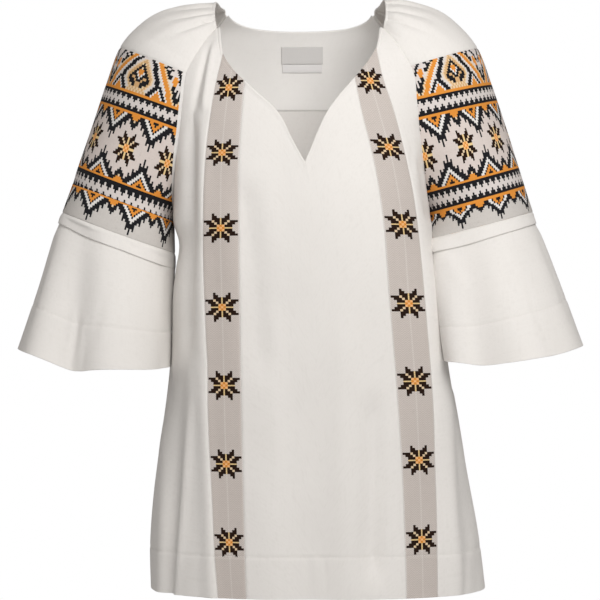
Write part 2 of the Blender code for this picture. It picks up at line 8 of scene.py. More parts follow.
import bpy
import numpy as np
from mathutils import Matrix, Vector


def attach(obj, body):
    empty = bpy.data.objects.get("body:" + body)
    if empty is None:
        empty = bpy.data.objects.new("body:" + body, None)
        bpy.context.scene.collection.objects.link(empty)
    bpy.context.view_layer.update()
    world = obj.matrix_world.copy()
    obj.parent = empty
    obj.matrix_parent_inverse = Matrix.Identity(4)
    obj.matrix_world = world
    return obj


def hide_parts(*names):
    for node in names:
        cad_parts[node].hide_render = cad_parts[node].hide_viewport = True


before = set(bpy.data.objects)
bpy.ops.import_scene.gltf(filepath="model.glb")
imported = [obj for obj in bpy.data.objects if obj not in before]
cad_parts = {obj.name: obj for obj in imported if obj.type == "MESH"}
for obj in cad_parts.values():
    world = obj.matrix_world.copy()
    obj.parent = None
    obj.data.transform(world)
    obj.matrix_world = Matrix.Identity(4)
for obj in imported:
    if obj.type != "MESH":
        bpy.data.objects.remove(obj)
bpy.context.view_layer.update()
print("packed nodes:", len(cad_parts))

# %% [markdown]
# ## Camera, floor and light
# The photograph was taken level with the middle of the blouse from a few metres away. A long
# lens at that place gives the same weak perspective. The light comes from a round panel close to
# the front, high on the right, and from weaker ones at the left, low in front and behind. A
# small lamp inside the blouse lights its back, which shows through the neck.

# %% Camera
METRE = 0.001                                # the tables below are in millimetres
CAMERA_BACK, CAMERA_HIGH = 2.6, -0.333
LENS, SENSOR, PIXELS = 139.3, 36.0, 600
scene = bpy.context.scene
camera = bpy.data.objects.new("camera", bpy.data.cameras.new("camera"))
camera.data.lens, camera.data.sensor_width = LENS, SENSOR
camera.location = (0.0, -CAMERA_BACK, CAMERA_HIGH)
camera.rotation_euler = (np.pi / 2, 0.0, 0.0)
scene.collection.objects.link(camera)
scene.camera = camera
scene.view_settings.view_transform = "Standard"
pixel = SENSOR / LENS * CAMERA_BACK / PIXELS / METRE
print("mm a pixel half way through the blouse:", round(pixel, 3))


# %% [markdown]
# ## Node helpers
# A finish is a small tree of shader nodes. Written as plain arithmetic it reads like the thing
# that it describes, so one class wraps a socket and turns Python's operators into Math nodes,
# and one method makes every other kind of node.

# %% Wrapped sockets
class Wire:
    """Output socket of a node, with Python's operators."""

    def __init__(self, finish, socket):
        self.finish, self.socket = finish, socket

    def maths(self, operation, *values):
        return self.finish.node("ShaderNodeMath", {"operation": operation}, dict(enumerate(values)))

    def __add__(self, other): return self.maths("ADD", self, other)
    def __sub__(self, other): return self.maths("SUBTRACT", self, other)
    def __rsub__(self, other): return self.maths("SUBTRACT", other, self)
    def __mul__(self, other): return self.maths("MULTIPLY", self, other)
    def __truediv__(self, other): return self.maths("DIVIDE", self, other)
    def __abs__(self): return self.maths("ABSOLUTE", self)
    def sine(self): return self.maths("SINE", self)
    def wave(self): return self.maths("PINGPONG", self, 1.0)
    __radd__, __rmul__ = __add__, __mul__


class Finish:
    """Material whose nodes are laid by node()."""

    def __init__(self, name, **constants):
        self.material = bpy.data.materials.new(name)
        self.material.use_nodes = True
        self.tree = self.material.node_tree
        self.shader = self.tree.nodes["Principled BSDF"]
        for socket, value in constants.items():
            self.shader.inputs[socket.replace("_", " ")].default_value = value

    def put(self, socket, value):
        if isinstance(value, Wire):
            self.tree.links.new(value.socket, socket)
        else:
            socket.default_value = value

    def node(self, kind, settings, sockets, output=0):
        """Node of a kind. settings are set first, then sockets by name or number."""
        made = self.tree.nodes.new(kind)
        for name, value in settings.items():
            setattr(made, name, value)
        for name, value in sockets.items():
            self.put(made.inputs[name], value)
        return Wire(self, made.outputs[output])

    def mix(self, part, first, second):
        """Colour between two colours."""
        return self.node("ShaderNodeMix", {"data_type": "RGBA"}, {0: part, 6: first, 7: second}, 2)

    def bump(self, height, strength):
        """Normal of a surface that stands out by a height in metres."""
        return self.node("ShaderNodeBump", {}, {
            "Height": height, "Strength": strength, "Distance": 1.0})

    def paint(self, **values):
        """Links or values for the shader's own sockets."""
        for name, value in values.items():
            self.put(self.shader.inputs[name.replace("_", " ")], value)
        return self.material


# %% World, lights and floor
AMBIENT, AMBIENT_COLOUR = 0.26, (1.0, 0.955, 0.915, 1.0)
WHITE, LAMP_COLOUR = (1.0, 1.0, 1.0, 1.0), (1.0, 0.985, 0.965)
AIM = (0.0, -0.05, -0.22)
world = bpy.data.worlds.new("studio")
world.use_nodes = True
scene.world = world
nodes, links = world.node_tree.nodes, world.node_tree.links
plain = nodes["Background"]
plain.inputs["Color"].default_value = AMBIENT_COLOUR
plain.inputs["Strength"].default_value = AMBIENT
seen = nodes.new("ShaderNodeBackground")
seen.inputs["Color"].default_value = WHITE
choice = nodes.new("ShaderNodeMixShader")
path = nodes.new("ShaderNodeLightPath")
links.new(path.outputs["Is Camera Ray"], choice.inputs[0])
links.new(plain.outputs[0], choice.inputs[1])
links.new(seen.outputs[0], choice.inputs[2])
links.new(choice.outputs[0], nodes["World Output"].inputs["Surface"])


def panel(name, place, watts, size=1.1, aim=AIM):
    """Round light panel at a place in metres, turned to its aim and itself unseen."""
    light = bpy.data.objects.new(name, bpy.data.lights.new(name, "AREA"))
    light.data.shape, light.data.size, light.data.energy = "DISK", size, watts
    light.data.color = LAMP_COLOUR
    light.location = place
    light.rotation_euler = (Vector(aim) - Vector(place)).to_track_quat("-Z", "Y").to_euler()
    light.visible_camera = False
    scene.collection.objects.link(light)


# the key light is near, so that the hem gets a little less light than the shoulders
panel("key_light", (0.42, -1.32, 0.56), 17.4)
panel("left_light", (-2.4, -0.8, 0.3), 5.4)
panel("low_light", (0.3, -1.7, 0.0), 3.0)
panel("back_light", (0.5, 2.2, -0.3), 6.0)
# a small lamp behind the front shows the inside of the back, as on a dress form cut out at the neck
panel("inner_light", (0.04, -0.055, -0.215), 0.05, 0.12, (0.04, 0.09, -0.09))

FLOOR_Z, FLOOR_REACH, FLOOR_SIDES = -1.1, 3.2, 96
floor_mesh = bpy.data.meshes.new("floor")
turns = np.linspace(0, 2 * np.pi, FLOOR_SIDES + 1)[:-1]
rim = np.stack([np.cos(turns), np.sin(turns), 0 * turns], -1) * FLOOR_REACH + (0, 0, FLOOR_Z)
floor_mesh.from_pydata(rim.tolist(), [], [list(range(len(rim)))])
floor = bpy.data.objects.new("floor", floor_mesh)
scene.collection.objects.link(floor)
floor_finish = Finish("pale_floor", Roughness=0.9)
floor.data.materials.append(floor_finish.paint(Base_Color=(0.86, 0.86, 0.86, 1.0)))


# %% [markdown]
# ## The form of the blouse
# Two smooth surfaces carry every piece: the body, a stack of rounded half sections, and the
# sleeve, a stack of lines round the arm that start and end on the raglan seam. They are worked
# out from short tables in millimetres, the same as the CAD model's. A sculpted mesh would drift
# away from the solids, so the formulas are used again here and only the creases get finer.

# %% Tables with smooth columns
END_ROOM = 0.1           # a table's curves go on this part of a row past its ends


class Table:
    """Sizes in named columns. Between its rows a column follows a smooth curve through them."""

    def __init__(self, names, rows):
        values = np.array(rows, float)
        self.names = names.split()
        self.values = values[np.argsort(values[:, 0])]

    def read(self, name, at):
        """Cubic curve with the slope at each row taken from its two neighbours."""
        key = self.values[:, 0]
        column = self.values[:, self.names.index(name)]
        slope = np.gradient(column, key)
        at = np.asarray(at, float)
        low = np.clip(np.searchsorted(key, at, side="right") - 1, 0, len(key) - 2)
        span = key[low + 1] - key[low]
        t = np.clip((at - key[low]) / span, -END_ROOM, 1 + END_ROOM)
        ease = t * t * (3 - 2 * t)
        bend = (t ** 3 - 2 * t * t + t) * slope[low] + (t ** 3 - t * t) * slope[low + 1]
        return column[low] * (1 - ease) + column[low + 1] * ease + span * bend


# %% Body tables
BODY_COLUMNS = "z left right seam_y mid_y turn square"
# z left right seam_y from the underarm down, where front and back meet at the side seams
SIDE_SEAMS = [
    (-246, -140.6, 143.0, 0), (-268, -134.5, 143.5, 4), (-300, -136.5, 149.0, 8),
    (-350, -141.0, 158.5, 12), (-408, -146.3, 167.0, 14), (-450, -150.5, 175.0, 14),
    (-502, -157.5, 183.7, 13), (-549, -163.7, 192.0, 12), (-600, -167.6, 200.0, 10),
    (-656, -166.5, 207.3, 10),
]


def body_table(upper, lower):
    """Half of the body: whole rows as far as the underarm, then mid_y turn square at the seams."""
    return Table(BODY_COLUMNS, upper + [seam + row for seam, row in zip(SIDE_SEAMS, lower)])


FRONT = body_table([
    (-30, -89.0, 89.0, -42, -60, 46, 2.2),
    (-46, -101.5, 101.5, -58, -73, 48, 2.2),
    (-60, -110.5, 110.5, -66, -82, 50, 2.2),
    (-84, -123.0, 123.0, -72, -94, 50, 2.3),
    (-115, -127.5, 127.0, -75, -104, 53, 2.5),
    (-150, -131.5, 130.5, -71, -113, 59, 2.7),
    (-190, -137.0, 136.0, -57, -121, 68, 2.9),
    (-225, -140.0, 141.0, -30, -125, 80, 3.1),
], [
    (-126, 90, 3.2), (-126, 90, 3.2), (-125, 90, 3.2), (-122, 90, 3.1), (-120, 90, 2.9),
    (-119, 90, 2.8), (-119, 90, 2.6), (-120, 90, 2.5), (-121, 90, 2.5), (-123, 90, 2.5),
])
BACK = body_table([
    (-5, -81.0, 81.0, 36, 58, 48, 2.2),
    (-22, -97.0, 97.0, 58, 70, 48, 2.2),
    (-42, -108.0, 108.0, 71, 80, 50, 2.2),
    (-80, -121.0, 121.0, 83, 95, 50, 2.3),
    (-120, -128.0, 128.0, 87, 104, 54, 2.4),
    (-160, -133.0, 132.5, 81, 109, 61, 2.5),
    (-200, -137.5, 137.5, 60, 110, 74, 2.5),
    (-228, -140.2, 141.2, 30, 109, 83, 2.5),
], [
    (108, 90, 2.5), (106, 90, 2.5), (105, 90, 2.5), (105, 90, 2.4), (108, 90, 2.4),
    (111, 90, 2.4), (115, 90, 2.4), (119, 90, 2.4), (122, 90, 2.4), (124, 90, 2.4),
])

# %% Neckline and bands
HEM_Z, HEM_DEEP = -653.0, 45.0               # the body's lower edge, and how deep it is turned up
HEM_TOP = HEM_Z + HEM_DEEP                   # height of the hem's stitching
UNDERARM_Z = -246.0
# the back's neckline: height at its corners, dip in its middle, how square, how far down it fades
BACK_NECK_Z, BACK_NECK_DIP, BACK_NECK_SQUARE, BACK_NECK_FADE = -8.0, 16.4, 2.4, 100.0
# the front's: height and half width at the raglan seams, bend beside the bands, x of the V's tip
FRONT_NECK_Z, FRONT_NECK_HALF, NECK_CURVE, NECK_TIP_X = -33.0, 87.5, 1.3, 5.4
NECK_START_Z, NECK_TRIES = -80.0, 40         # start and steps of the search for a band's corner
NECK_LEFT = Table("out z", [
    (0, -185.0), (7.5, -172.0), (16, -155.6), (23.7, -139.3), (32.3, -127.0), (46.3, -113.6),
    (57, -104.0), (67, -94.2), (79, -79.6), (89.3, -64.8), (95, -55.0),
])
NECK_RIGHT = Table("out z", [
    (0, -185.0), (6.4, -169.5), (13.9, -151.0), (21.5, -134.5), (32.3, -118.0), (43.2, -104.5),
    (53, -93.0), (61.7, -82.0), (70.7, -69.5), (78.3, -57.0), (86, -44.0),
])
BAND_LEFT = Table("z outer inner", [
    (-50, -80.5, -56.0), (-107, -93.0, -60.8), (-153, -99.0, -64.0), (-195, -101.9, -65.8),
    (-257, -102.8, -65.6), (-331, -101.3, -64.9), (-430, -98.2, -62.9), (-498, -96.2, -61.6),
    (-550, -93.6, -60.2), (-613, -90.5, -58.5), (-656, -87.3, -57.1),
])
BAND_RIGHT = Table("z outer inner", [
    (-50, 82.0, 50.0), (-91, 90.0, 58.5), (-128, 102.0, 65.8), (-182, 115.6, 78.8),
    (-242, 125.1, 88.5), (-331, 133.5, 95.6), (-415, 140.8, 103.1), (-500, 145.2, 108.9),
    (-551, 147.5, 111.6), (-610, 148.4, 113.3), (-656, 148.7, 113.9),
])

# %% Sleeve tables
ROW_PANEL, ROW_UNDERARM, ROW_TUCK, ROW_TUCK_END, ROW_HEM = 4.0, 8.0, 9.0, 10.0, 12.0
SLEEVE_COLUMNS = "row front_z back_z ridge_out ridge_z inner_out inner_z mid_y depth drop"


def sleeve_table(seam_out, upper, lower):
    """Sleeve: rows without inner and drop as far as the underarm, then whole rows."""
    inner = (seam_out, UNDERARM_Z)
    whole = [(row, *sizes[:4], *inner, *sizes[4:], 0) for row, sizes in enumerate(upper)]
    return Table(SLEEVE_COLUMNS, whole + lower)


SLEEVES = {
    "left": sleeve_table(140.6, [
        (-33, -8, 92.8, 0.0, -2, 44), (-46, -20, 124.0, -3.0, -1, 58),
        (-60, -40, 155.0, -10.0, 2, 68), (-72, -58, 180.0, -25.5, 4, 74),
        (-86, -80, 201.6, -50.5, 5, 78), (-128, -122, 218.0, -92.4, 6, 81),
        (-177, -172, 233.0, -138.0, 6, 77), (-225, -222, 248.3, -183.0, 2, 70),
        (-246, -246, 254.5, -203.7, 0, 66),
    ], [
        (9, -246, -246, 264.6, -235.5, 139.5, -281, -13, 65, 1),
        (10, -246, -246, 268.5, -247.6, 139.5, -299, -18, 65, 2),
        (11, -246, -246, 288.4, -318.5, 141.5, -353, -34, 72, 5),
        (12, -246, -246, 310.4, -385.7, 143.5, -407, -46, 79, 9),
    ]),
    "right": sleeve_table(143.0, [
        (-33, -8, 93.5, 3.0, -2, 44), (-44, -19, 117.0, 2.0, -1, 57),
        (-56, -37, 152.0, -8.0, 2, 67), (-67, -54, 176.4, -24.5, 4, 73),
        (-78, -72, 198.9, -51.3, 5, 77), (-115, -110, 215.3, -92.0, 6, 80),
        (-167, -162, 230.7, -138.3, 6, 78), (-215, -212, 245.0, -184.7, 2, 70),
        (-246, -246, 254.5, -216.4, 0, 66),
    ], [
        (9, -246, -246, 259.3, -235.1, 139.5, -266, -12, 65, 1),
        (10, -246, -246, 262.6, -247.9, 139.0, -282, -18, 65, 2),
        (11, -246, -246, 284.9, -309.1, 148.5, -342, -34, 72, 5),
        (12, -246, -246, 311.3, -381.9, 157.0, -397, -46, 79, 9),
    ]),
}
OUTWARDS = {"left": -1.0, "right": 1.0}


# %% [markdown]
# ## Folds and creases
# Worn cloth falls in a few long folds, which the solids have too, and in many small creases that
# only the finished surface needs. Each one is a bell across a slanting line: it rises along the
# line, lies at its full height, and fades again. Simulated cloth would fall differently every
# time, so the creases are placed one by one where they can be seen, and others like them on the
# hidden sides.

# %% Folds of the body
# x_top z_top x_end z_end wide high_top high_end, below zero for a trough
FRONT_FOLDS = [
    (-95, -50, -104, -130, 4.5, 3.0, 4.5), (-105, -120, -104, -420, 9, 3.0, 4.0),
    (-104, -400, -93, -690, 9, 4.0, 4.5), (-98, -50, -117, -130, 4.5, -3.0, -4.0),
    (-118, -120, -123, -400, 8, -5.0, -9.5), (-130, -370, -143, -690, 8, -1.5, -9.0),
    (-116, -420, -139.5, -690, 5, 1.5, 6.0), (-150, -470, -153, -690, 6, 1.5, 3.0),
    (128, -150, 176, -690, 12, 4.0, 7.0), (130, -175, 138, -250, 5, -3.0, -5.0),
    (-61, -200, -40, -420, 16, -5.0, -2.5), (79, -430, 78, -640, 14, -4.5, -10.5),
    (20, -400, 6, -690, 26, -1.5, -5.5), (185, -500, 182, -690, 8, -1.0, -4.0),
    (-36, -330, -30, -690, 18, 1.0, 2.5), (52, -330, 50, -690, 16, 1.0, 3.5),
]
FRONT_CREASES = [
    (-117, -125, -119, -170, 1.6, -0.6, -0.4),
    (122, -165, 120, -195, 3.0, -0.9, -0.6), (127, -205, 131, -232, 3.0, -0.9, -0.5),
    (3, -186, -2, -222, 2.0, -0.6, -0.2), (7, -187, 11, -210, 1.8, 0.5, 0.2),
    (1, -188, -8, -204, 1.4, 0.4, 0.2),
    (-30, -330, -22, -560, 9, 0.8, 0.6), (44, -300, 40, -560, 10, 0.8, 0.8),
    (-84, -420, -80, -640, 8, 0.6, 0.8), (66, -520, 70, -650, 7, 0.6, 0.9),
    (170, -380, 176, -640, 7, -1.2, -1.8), (158, -300, 163, -600, 6, 1.0, 1.2),
    (-128, -300, -136, -460, 5, 1.0, 1.2), (196, -600, 194, -660, 4, -0.9, -1.4),
    (186, -612, 185, -660, 3, 0.8, 1.2), (176, -606, 177, -660, 3, -0.6, -0.9),
    (8, -606, 9, -648, 3.0, -0.6, -0.4), (16, -604, 18, -650, 3.4, 0.7, 0.5),
    (26, -606, 29, -648, 3.0, -0.6, -0.4), (-12, -608, -15, -650, 4.0, 0.4, 0.4),
]
BACK_FOLDS = [
    (-96, -200, -110, -690, 18, 1.0, 6.0), (-52, -300, -60, -690, 18, -1.0, -5.5),
    (0, -120, 8, -690, 24, 0.5, 4.5), (62, -300, 78, -690, 18, -1.0, -5.5),
    (104, -200, 138, -690, 18, 1.0, 6.0),
]
BACK_CREASES = [
    (-30, -60, -24, -240, 9, -0.9, -0.4), (34, -60, 30, -260, 9, -0.9, -0.4),
    (-78, -90, -92, -230, 7, -1.2, -0.8), (80, -90, 96, -230, 7, -1.2, -0.8),
    (-100, -120, -118, -236, 5, 1.0, 0.7), (102, -120, 121, -236, 5, 1.0, 0.7),
    (-20, -300, -26, -640, 9, 0.8, 1.2), (36, -320, 42, -640, 9, -0.8, -1.2),
    (-124, -300, -134, -640, 7, -1.0, -1.6), (150, -300, 166, -640, 7, -1.0, -1.8),
    (-150, -560, -152, -650, 5, 0.8, 1.2), (180, -560, 184, -650, 5, 0.8, 1.2),
]
BODY_EDGE, SLEEVE_EDGE = 0.15, 0.08          # folds fade out over this part beside the seams
FOLD_FADE, FOLD_START = 5.0, 0.2
# x and z over which each wave runs, where it starts, and its height
WAVES = [(19, 61, 1.0, 0.30), (37, -31, 2.0, 0.24), (-47, 23, 0.0, 0.18), (9.5, 17, 0.7, 0.10)]


def join(x, y, z):
    """Points from three arrays of coordinates."""
    return np.stack(np.broadcast_arrays(x, y, z), axis=-1).astype(float)


def mix(start, end, part):
    """Straight line from start to end."""
    return start + (end - start) * part


def bell(distance, wide):
    """Bell of height 1: e to the power of minus the square of distance over wide."""
    return np.exp(-(distance / wide) ** 2)


def smooth(part):
    """Step from 0 to 1 with level ends: 3 p squared minus 2 p cubed."""
    part = np.clip(part, 0, 1)
    return part * part * (3 - 2 * part)


def normals(surface, a, b, heart):
    """Unit normals of surface(a, b), from two small steps across it, turned away from heart."""
    small = 1e-3
    along_a = surface(a + small, b) - surface(a - small, b)
    along_b = surface(a, b + small) - surface(a, b - small)
    normal = np.cross(along_a, along_b)
    normal /= np.linalg.norm(normal, axis=-1, keepdims=True)
    away = np.sum(normal * (surface(a, b) - heart(a, b)), axis=-1, keepdims=True)
    return np.where(away < 0, -normal, normal)


def fold_height(folds, x, z):
    """Sum of the folds at (x, z): each is a bell across a slanting line, fading in at its ends."""
    total = np.zeros(np.broadcast(x, z).shape)
    for x_top, z_top, x_end, z_end, wide, high_top, high_end in folds:
        part = (z_top - z) / (z_top - z_end)
        fade = np.clip(part * FOLD_FADE + FOLD_START, 0, 1)
        fade = fade * np.clip((1 - part) * FOLD_FADE + FOLD_START, 0, 1)
        line = mix(x_top, x_end, np.clip(part, 0, 1))
        height = mix(high_top, high_end, np.clip(part, 0, 1))
        total = total + height * fade * fade * (3 - 2 * fade) * bell(x - line, wide)
    return total


def unevenness(x, z):
    """Slow waves of a third of a millimetre, as cloth has that was ironed and then worn."""
    return sum(high * np.sin(x / across + z / down + start) for across, down, start, high in WAVES)


# %% The body as a surface
HEART_X = 20.0
# left of this x, over this width, the side swells round this height
SWELL, SWELL_X, SWELL_OVER, SWELL_Z, SWELL_HIGH = 2.4, -100.0, 30.0, -325.0, 34.0
# right of this x, over this width, the side is pressed in round this y, between two heights
PRESS, PRESS_X, PRESS_OVER, PRESS_Y, PRESS_WIDE = 9.0, 115.0, 25.0, -10.0, 27.0
PRESS_TOP, PRESS_END, PRESS_FADE = -262.0, -440.0, 40.0


def half_round(angle, square):
    """Radius of the rounded square |sin|^n + |cos|^n = 1 at an angle from its middle."""
    return (np.abs(np.sin(angle)) ** square + np.abs(np.cos(angle)) ** square) ** (-1 / square)


def section(table, z):
    """Middle and reach of a half section of the body at height z."""
    left, right = table.read("left", z), table.read("right", z)
    square = table.read("square", z)
    turn = np.radians(table.read("turn", z))
    reach = half_round(turn, square)
    across = (right - left) / 2 / (reach * np.sin(turn))
    share = reach * np.cos(turn)
    mid_y = table.read("mid_y", z)
    centre_y = (table.read("seam_y", z) - mid_y * share) / (1 - share)
    return (left + right) / 2, centre_y, across, mid_y - centre_y, square, turn


def smooth_body(table):
    """Body without folds: angle runs round a half section from its middle, z is the height."""
    def surface(angle, z):
        centre_x, centre_y, across, deep, square, _ = section(table, z)
        radius = half_round(angle, square)
        return join(centre_x + across * radius * np.sin(angle),
                    centre_y + deep * radius * np.cos(angle), z)
    return surface


def angle_at(table, x, z):
    """Angle of the point of a half section that lies at x."""
    centre_x, _, across, _, square, _ = section(table, z)
    part = np.clip((x - centre_x) / across, -1, 1)
    rest = (1 - np.abs(part) ** square) ** (1 / square)
    return np.arctan2(part, rest)


def body_heart(angle, z):
    """Point inside the body at height z."""
    return join(HEART_X + 0 * angle, 0.0, z)


def beside_sleeves(points):
    """The left side stands out a little under the sleeve, and the right one is pressed in by it."""
    x, y, z = points[..., 0], points[..., 1], points[..., 2]
    swell = SWELL * smooth((SWELL_X - x) / SWELL_OVER) * bell(z - SWELL_Z, SWELL_HIGH)
    press = PRESS * smooth((x - PRESS_X) / PRESS_OVER) * bell(y - PRESS_Y, PRESS_WIDE)
    fade = smooth((PRESS_TOP - z) / PRESS_FADE) * smooth((z - PRESS_END) / PRESS_FADE)
    return swell - press * fade


def body(table, folds):
    """Body with its folds, each point moved along the smooth body's normal."""
    base = smooth_body(table)

    def surface(angle, z):
        points = base(angle, z)
        turn = section(table, z)[5]
        edge = np.clip((turn - np.abs(angle)) / BODY_EDGE, 0, 1)
        height = (fold_height(folds, points[..., 0], z) + unevenness(points[..., 0], z)) * edge
        height = height + beside_sleeves(points)
        return points + normals(base, angle, z, body_heart) * height[..., None]
    return surface


front_surface = body(FRONT, FRONT_FOLDS + FRONT_CREASES)
back_surface = body(BACK, BACK_FOLDS + BACK_CREASES)

# %% Folds of the sleeves
# angle_neck angle_end row_end high, where the head is gathered into the neck
PLEATS = [(-80, -66, 3.0, 2.0), (-57, -50, 3.8, 3.2), (-38, -30, 2.6, 1.9), (-14, -11, 2.9, 2.6),
          (14, 12, 2.2, 1.8), (38, 33, 3.0, 2.4), (61, 53, 3.6, 2.2), (83, 72, 3.0, 1.8)]
PLEAT_AT_NECK, PLEAT_FULL_ROW, PLEAT_FALL, PLEAT_WIDE = 0.12, 0.6, 0.8, 6.5
# angle_top angle_end row_top wide high, the soft flutes of the lower sleeve
FLUTES = {
    "left": [(-18, -44, 9.4, 14, 5.0), (-50, -74, 9.1, 20, -24.0), (-96, -120, 9.2, 22, 6.0),
             (-154, -156, 9.4, 10, -3.0), (48, 44, 9.4, 18, 4.5), (86, 84, 9.2, 17, -7.5),
             (124, 126, 9.4, 18, 5.0)],
    "right": [(-36, -38, 9.4, 16, 3.0), (-66, -76, 9.3, 15, 4.0), (-108, -121, 9.1, 17, -13.0),
              (-138, -142, 9.3, 14, 4.0), (48, 46, 9.4, 18, 4.5), (88, 86, 9.2, 17, -7.5),
              (126, 126, 9.4, 18, 5.0)],
}
FLUTE_GROWTH = 1.3
CREASE_IN, CREASE_START, CREASE_OUT = 4.0, 0.6, 2.0
# the sleeve's own unevenness: its waves' stretch, shift and share of the body's
UNEVEN_STRETCH, UNEVEN_SHIFT, UNEVEN_SHARE = 1.3, 40.0, 0.8
# angle_top row_top angle_end row_end wide high, small creases of the sleeves, width in degrees
SLEEVE_CREASES = {
    "left": [(-96, 0.0, -84, 1.9, 2.6, -1.2), (-70, 0.0, -62, 2.8, 2.4, -1.3),
             (-67, 0.2, -62, 0.75, 2.2, -2.6),
             (-46, 0.0, -42, 2.2, 2.4, -1.2), (-24, 0.0, -21, 1.8, 2.4, -1.0),
             (2, 0.0, 1, 1.6, 2.4, -0.9), (26, 0.0, 24, 2.0, 2.4, -1.0),
             (50, 0.0, 44, 2.4, 2.4, -1.2), (72, 0.0, 63, 2.4, 2.4, -1.2),
             (-64, 11.1, -67, 12.2, 2.6, 1.2), (-70, 11.2, -73, 12.2, 2.4, -1.3),
             (-77, 11.2, -80, 12.2, 2.4, 1.1), (-83, 11.4, -86, 12.2, 2.4, -0.9),
             (-92, 10.9, -87, 12.0, 3.6, -1.1), (-100, 10.0, -108, 11.4, 5.0, 0.8),
             (-20, 10.3, -24, 11.8, 5.0, -0.9),
             (20, 10.4, 24, 11.8, 5.0, 0.9), (104, 10.2, 108, 11.6, 4.0, -0.9)],
    "right": [(-96, 0.0, -84, 1.9, 2.6, -1.2), (-68, 0.0, -61, 2.8, 2.4, -1.3),
              (-45, 0.0, -41, 2.4, 2.4, -1.3), (-23, 0.0, -21, 2.0, 2.4, -1.1),
              (1, 0.0, 1, 1.6, 2.4, -0.9), (27, 0.0, 24, 2.0, 2.4, -1.0),
              (50, 0.0, 44, 2.4, 2.4, -1.2), (73, 0.0, 63, 2.4, 2.4, -1.2),
              (-150, 9.8, -142, 10.5, 4.5, -1.6), (-128, 10.1, -116, 11.0, 5.0, 1.0),
              (-80, 10.4, -82, 12.2, 4.0, -0.9), (-66, 10.9, -64, 12.2, 3.0, -0.8),
              (-24, 10.3, -27, 11.8, 5.0, -0.8), (22, 10.4, 26, 11.8, 5.0, 0.9),
              (106, 10.2, 109, 11.6, 4.0, -0.9)],
}


# %% The sleeve as a surface
SEAMS_MEET, DEEPER = 0.5, 1.002              # the seams are one line when this near, in millimetres
NECK_FLAT, NECK_FLAT_ROWS = 0.5, 1.4         # the neck's edge runs almost straight down to the back
# below the underarm the inner end lies back against the body; how square, how flat, how far back
INNER_END = {"left": (2.2, 0.35, 12.0), "right": (4.0, 0.0, 8.0)}
END_WIDE, END_ROWS = 0.75, 2.0


def sleeve_line(side, row):
    """Centre, reaches and directions of the line round the sleeve at a row."""
    table, out = SLEEVES[side], OUTWARDS[side]

    def seam(body_table, column):
        z = table.read(column, row)
        return join(body_table.read(side, z), body_table.read("seam_y", z), z)

    below = (row > ROW_UNDERARM)[..., None]
    mid_y = table.read("mid_y", row)
    inner = join(out * table.read("inner_out", row), mid_y, table.read("inner_z", row))
    front = np.where(below, inner, seam(FRONT, "front_z"))
    back = np.where(below, inner, seam(BACK, "back_z"))
    ridge = join(out * table.read("ridge_out", row), mid_y, table.read("ridge_z", row))
    middle = (front + back) / 2
    chord = back - front
    half = np.linalg.norm(chord, axis=-1) / 2
    met = (half < SEAMS_MEET)[..., None]
    backwards = np.where(met, [0.0, 1.0, 0.0], chord / np.maximum(half, SEAMS_MEET)[..., None] / 2)
    reach = np.linalg.norm(ridge - middle, axis=-1)
    outwards = (ridge - middle) / reach[..., None]
    deep = np.maximum(table.read("depth", row), half * DEEPER)
    turn = np.pi - np.arcsin(half / deep)
    wide = reach / (1 - np.cos(turn))
    centre = middle - (wide * np.cos(turn))[..., None] * outwards
    return centre, wide, deep, turn, outwards, backwards


def smooth_sleeve(side):
    """Sleeve without folds: part runs round the arm from -1, the front seam, to 1, the back one.

    Below the underarm its inner end lies flat against the body, and a little further back.
    """
    def surface(part, row):
        centre, wide, deep, turn, outwards, backwards = sleeve_line(side, row)
        angle = part * turn
        squarer, flatter, further = INNER_END[side]
        below = smooth((row - ROW_UNDERARM) / END_ROWS)
        square = 2 + (squarer - 2) * below * smooth(-np.cos(angle))
        at_end = bell(np.pi - np.abs(angle), END_WIDE) * below
        radius = half_round(angle, square)
        depth = deep * radius * np.sin(angle) * (1 - flatter * at_end) + further * at_end
        flat = smooth(1 - row / NECK_FLAT_ROWS) * np.sin(np.pi * np.clip(part, 0, 1))
        reach = wide * radius * np.cos(angle) * (1 - NECK_FLAT * flat)
        points = centre + reach[..., None] * outwards
        points = points + depth[..., None] * backwards
        points[..., 2] -= SLEEVES[side].read("drop", row) * np.sin(angle) ** 2
        return points
    return surface


def sleeve_folds(side, angle, row):
    """Height of pleats, flutes and creases at an angle and row of the sleeve."""
    height = np.zeros(angle.shape)
    for angle_neck, angle_end, row_end, high in PLEATS:
        line = mix(angle_neck, angle_end, np.clip(row / row_end, 0, 1))
        rise = mix(PLEAT_AT_NECK, 1, np.clip(row / PLEAT_FULL_ROW, 0, 1))
        fade = np.clip(1 - row / row_end, 0, 1) ** PLEAT_FALL
        height = height + high * rise * fade * bell(angle - line, PLEAT_WIDE)
    for angle_top, angle_end, row_top, wide, high in FLUTES[side]:
        down = np.clip((row - row_top) / (ROW_HEM - row_top), 0, 1)
        line = mix(angle_top, angle_end, down)
        height = height + high * down ** FLUTE_GROWTH * bell(angle - line, wide)
    for angle_top, row_top, angle_end, row_end, wide, high in SLEEVE_CREASES[side]:
        down = (row - row_top) / (row_end - row_top)
        fade = smooth(down * CREASE_IN + CREASE_START) * smooth((1 - down) * CREASE_OUT)
        line = mix(angle_top, angle_end, np.clip(down, 0, 1))
        height = height + high * fade * bell(angle - line, wide)
    return height


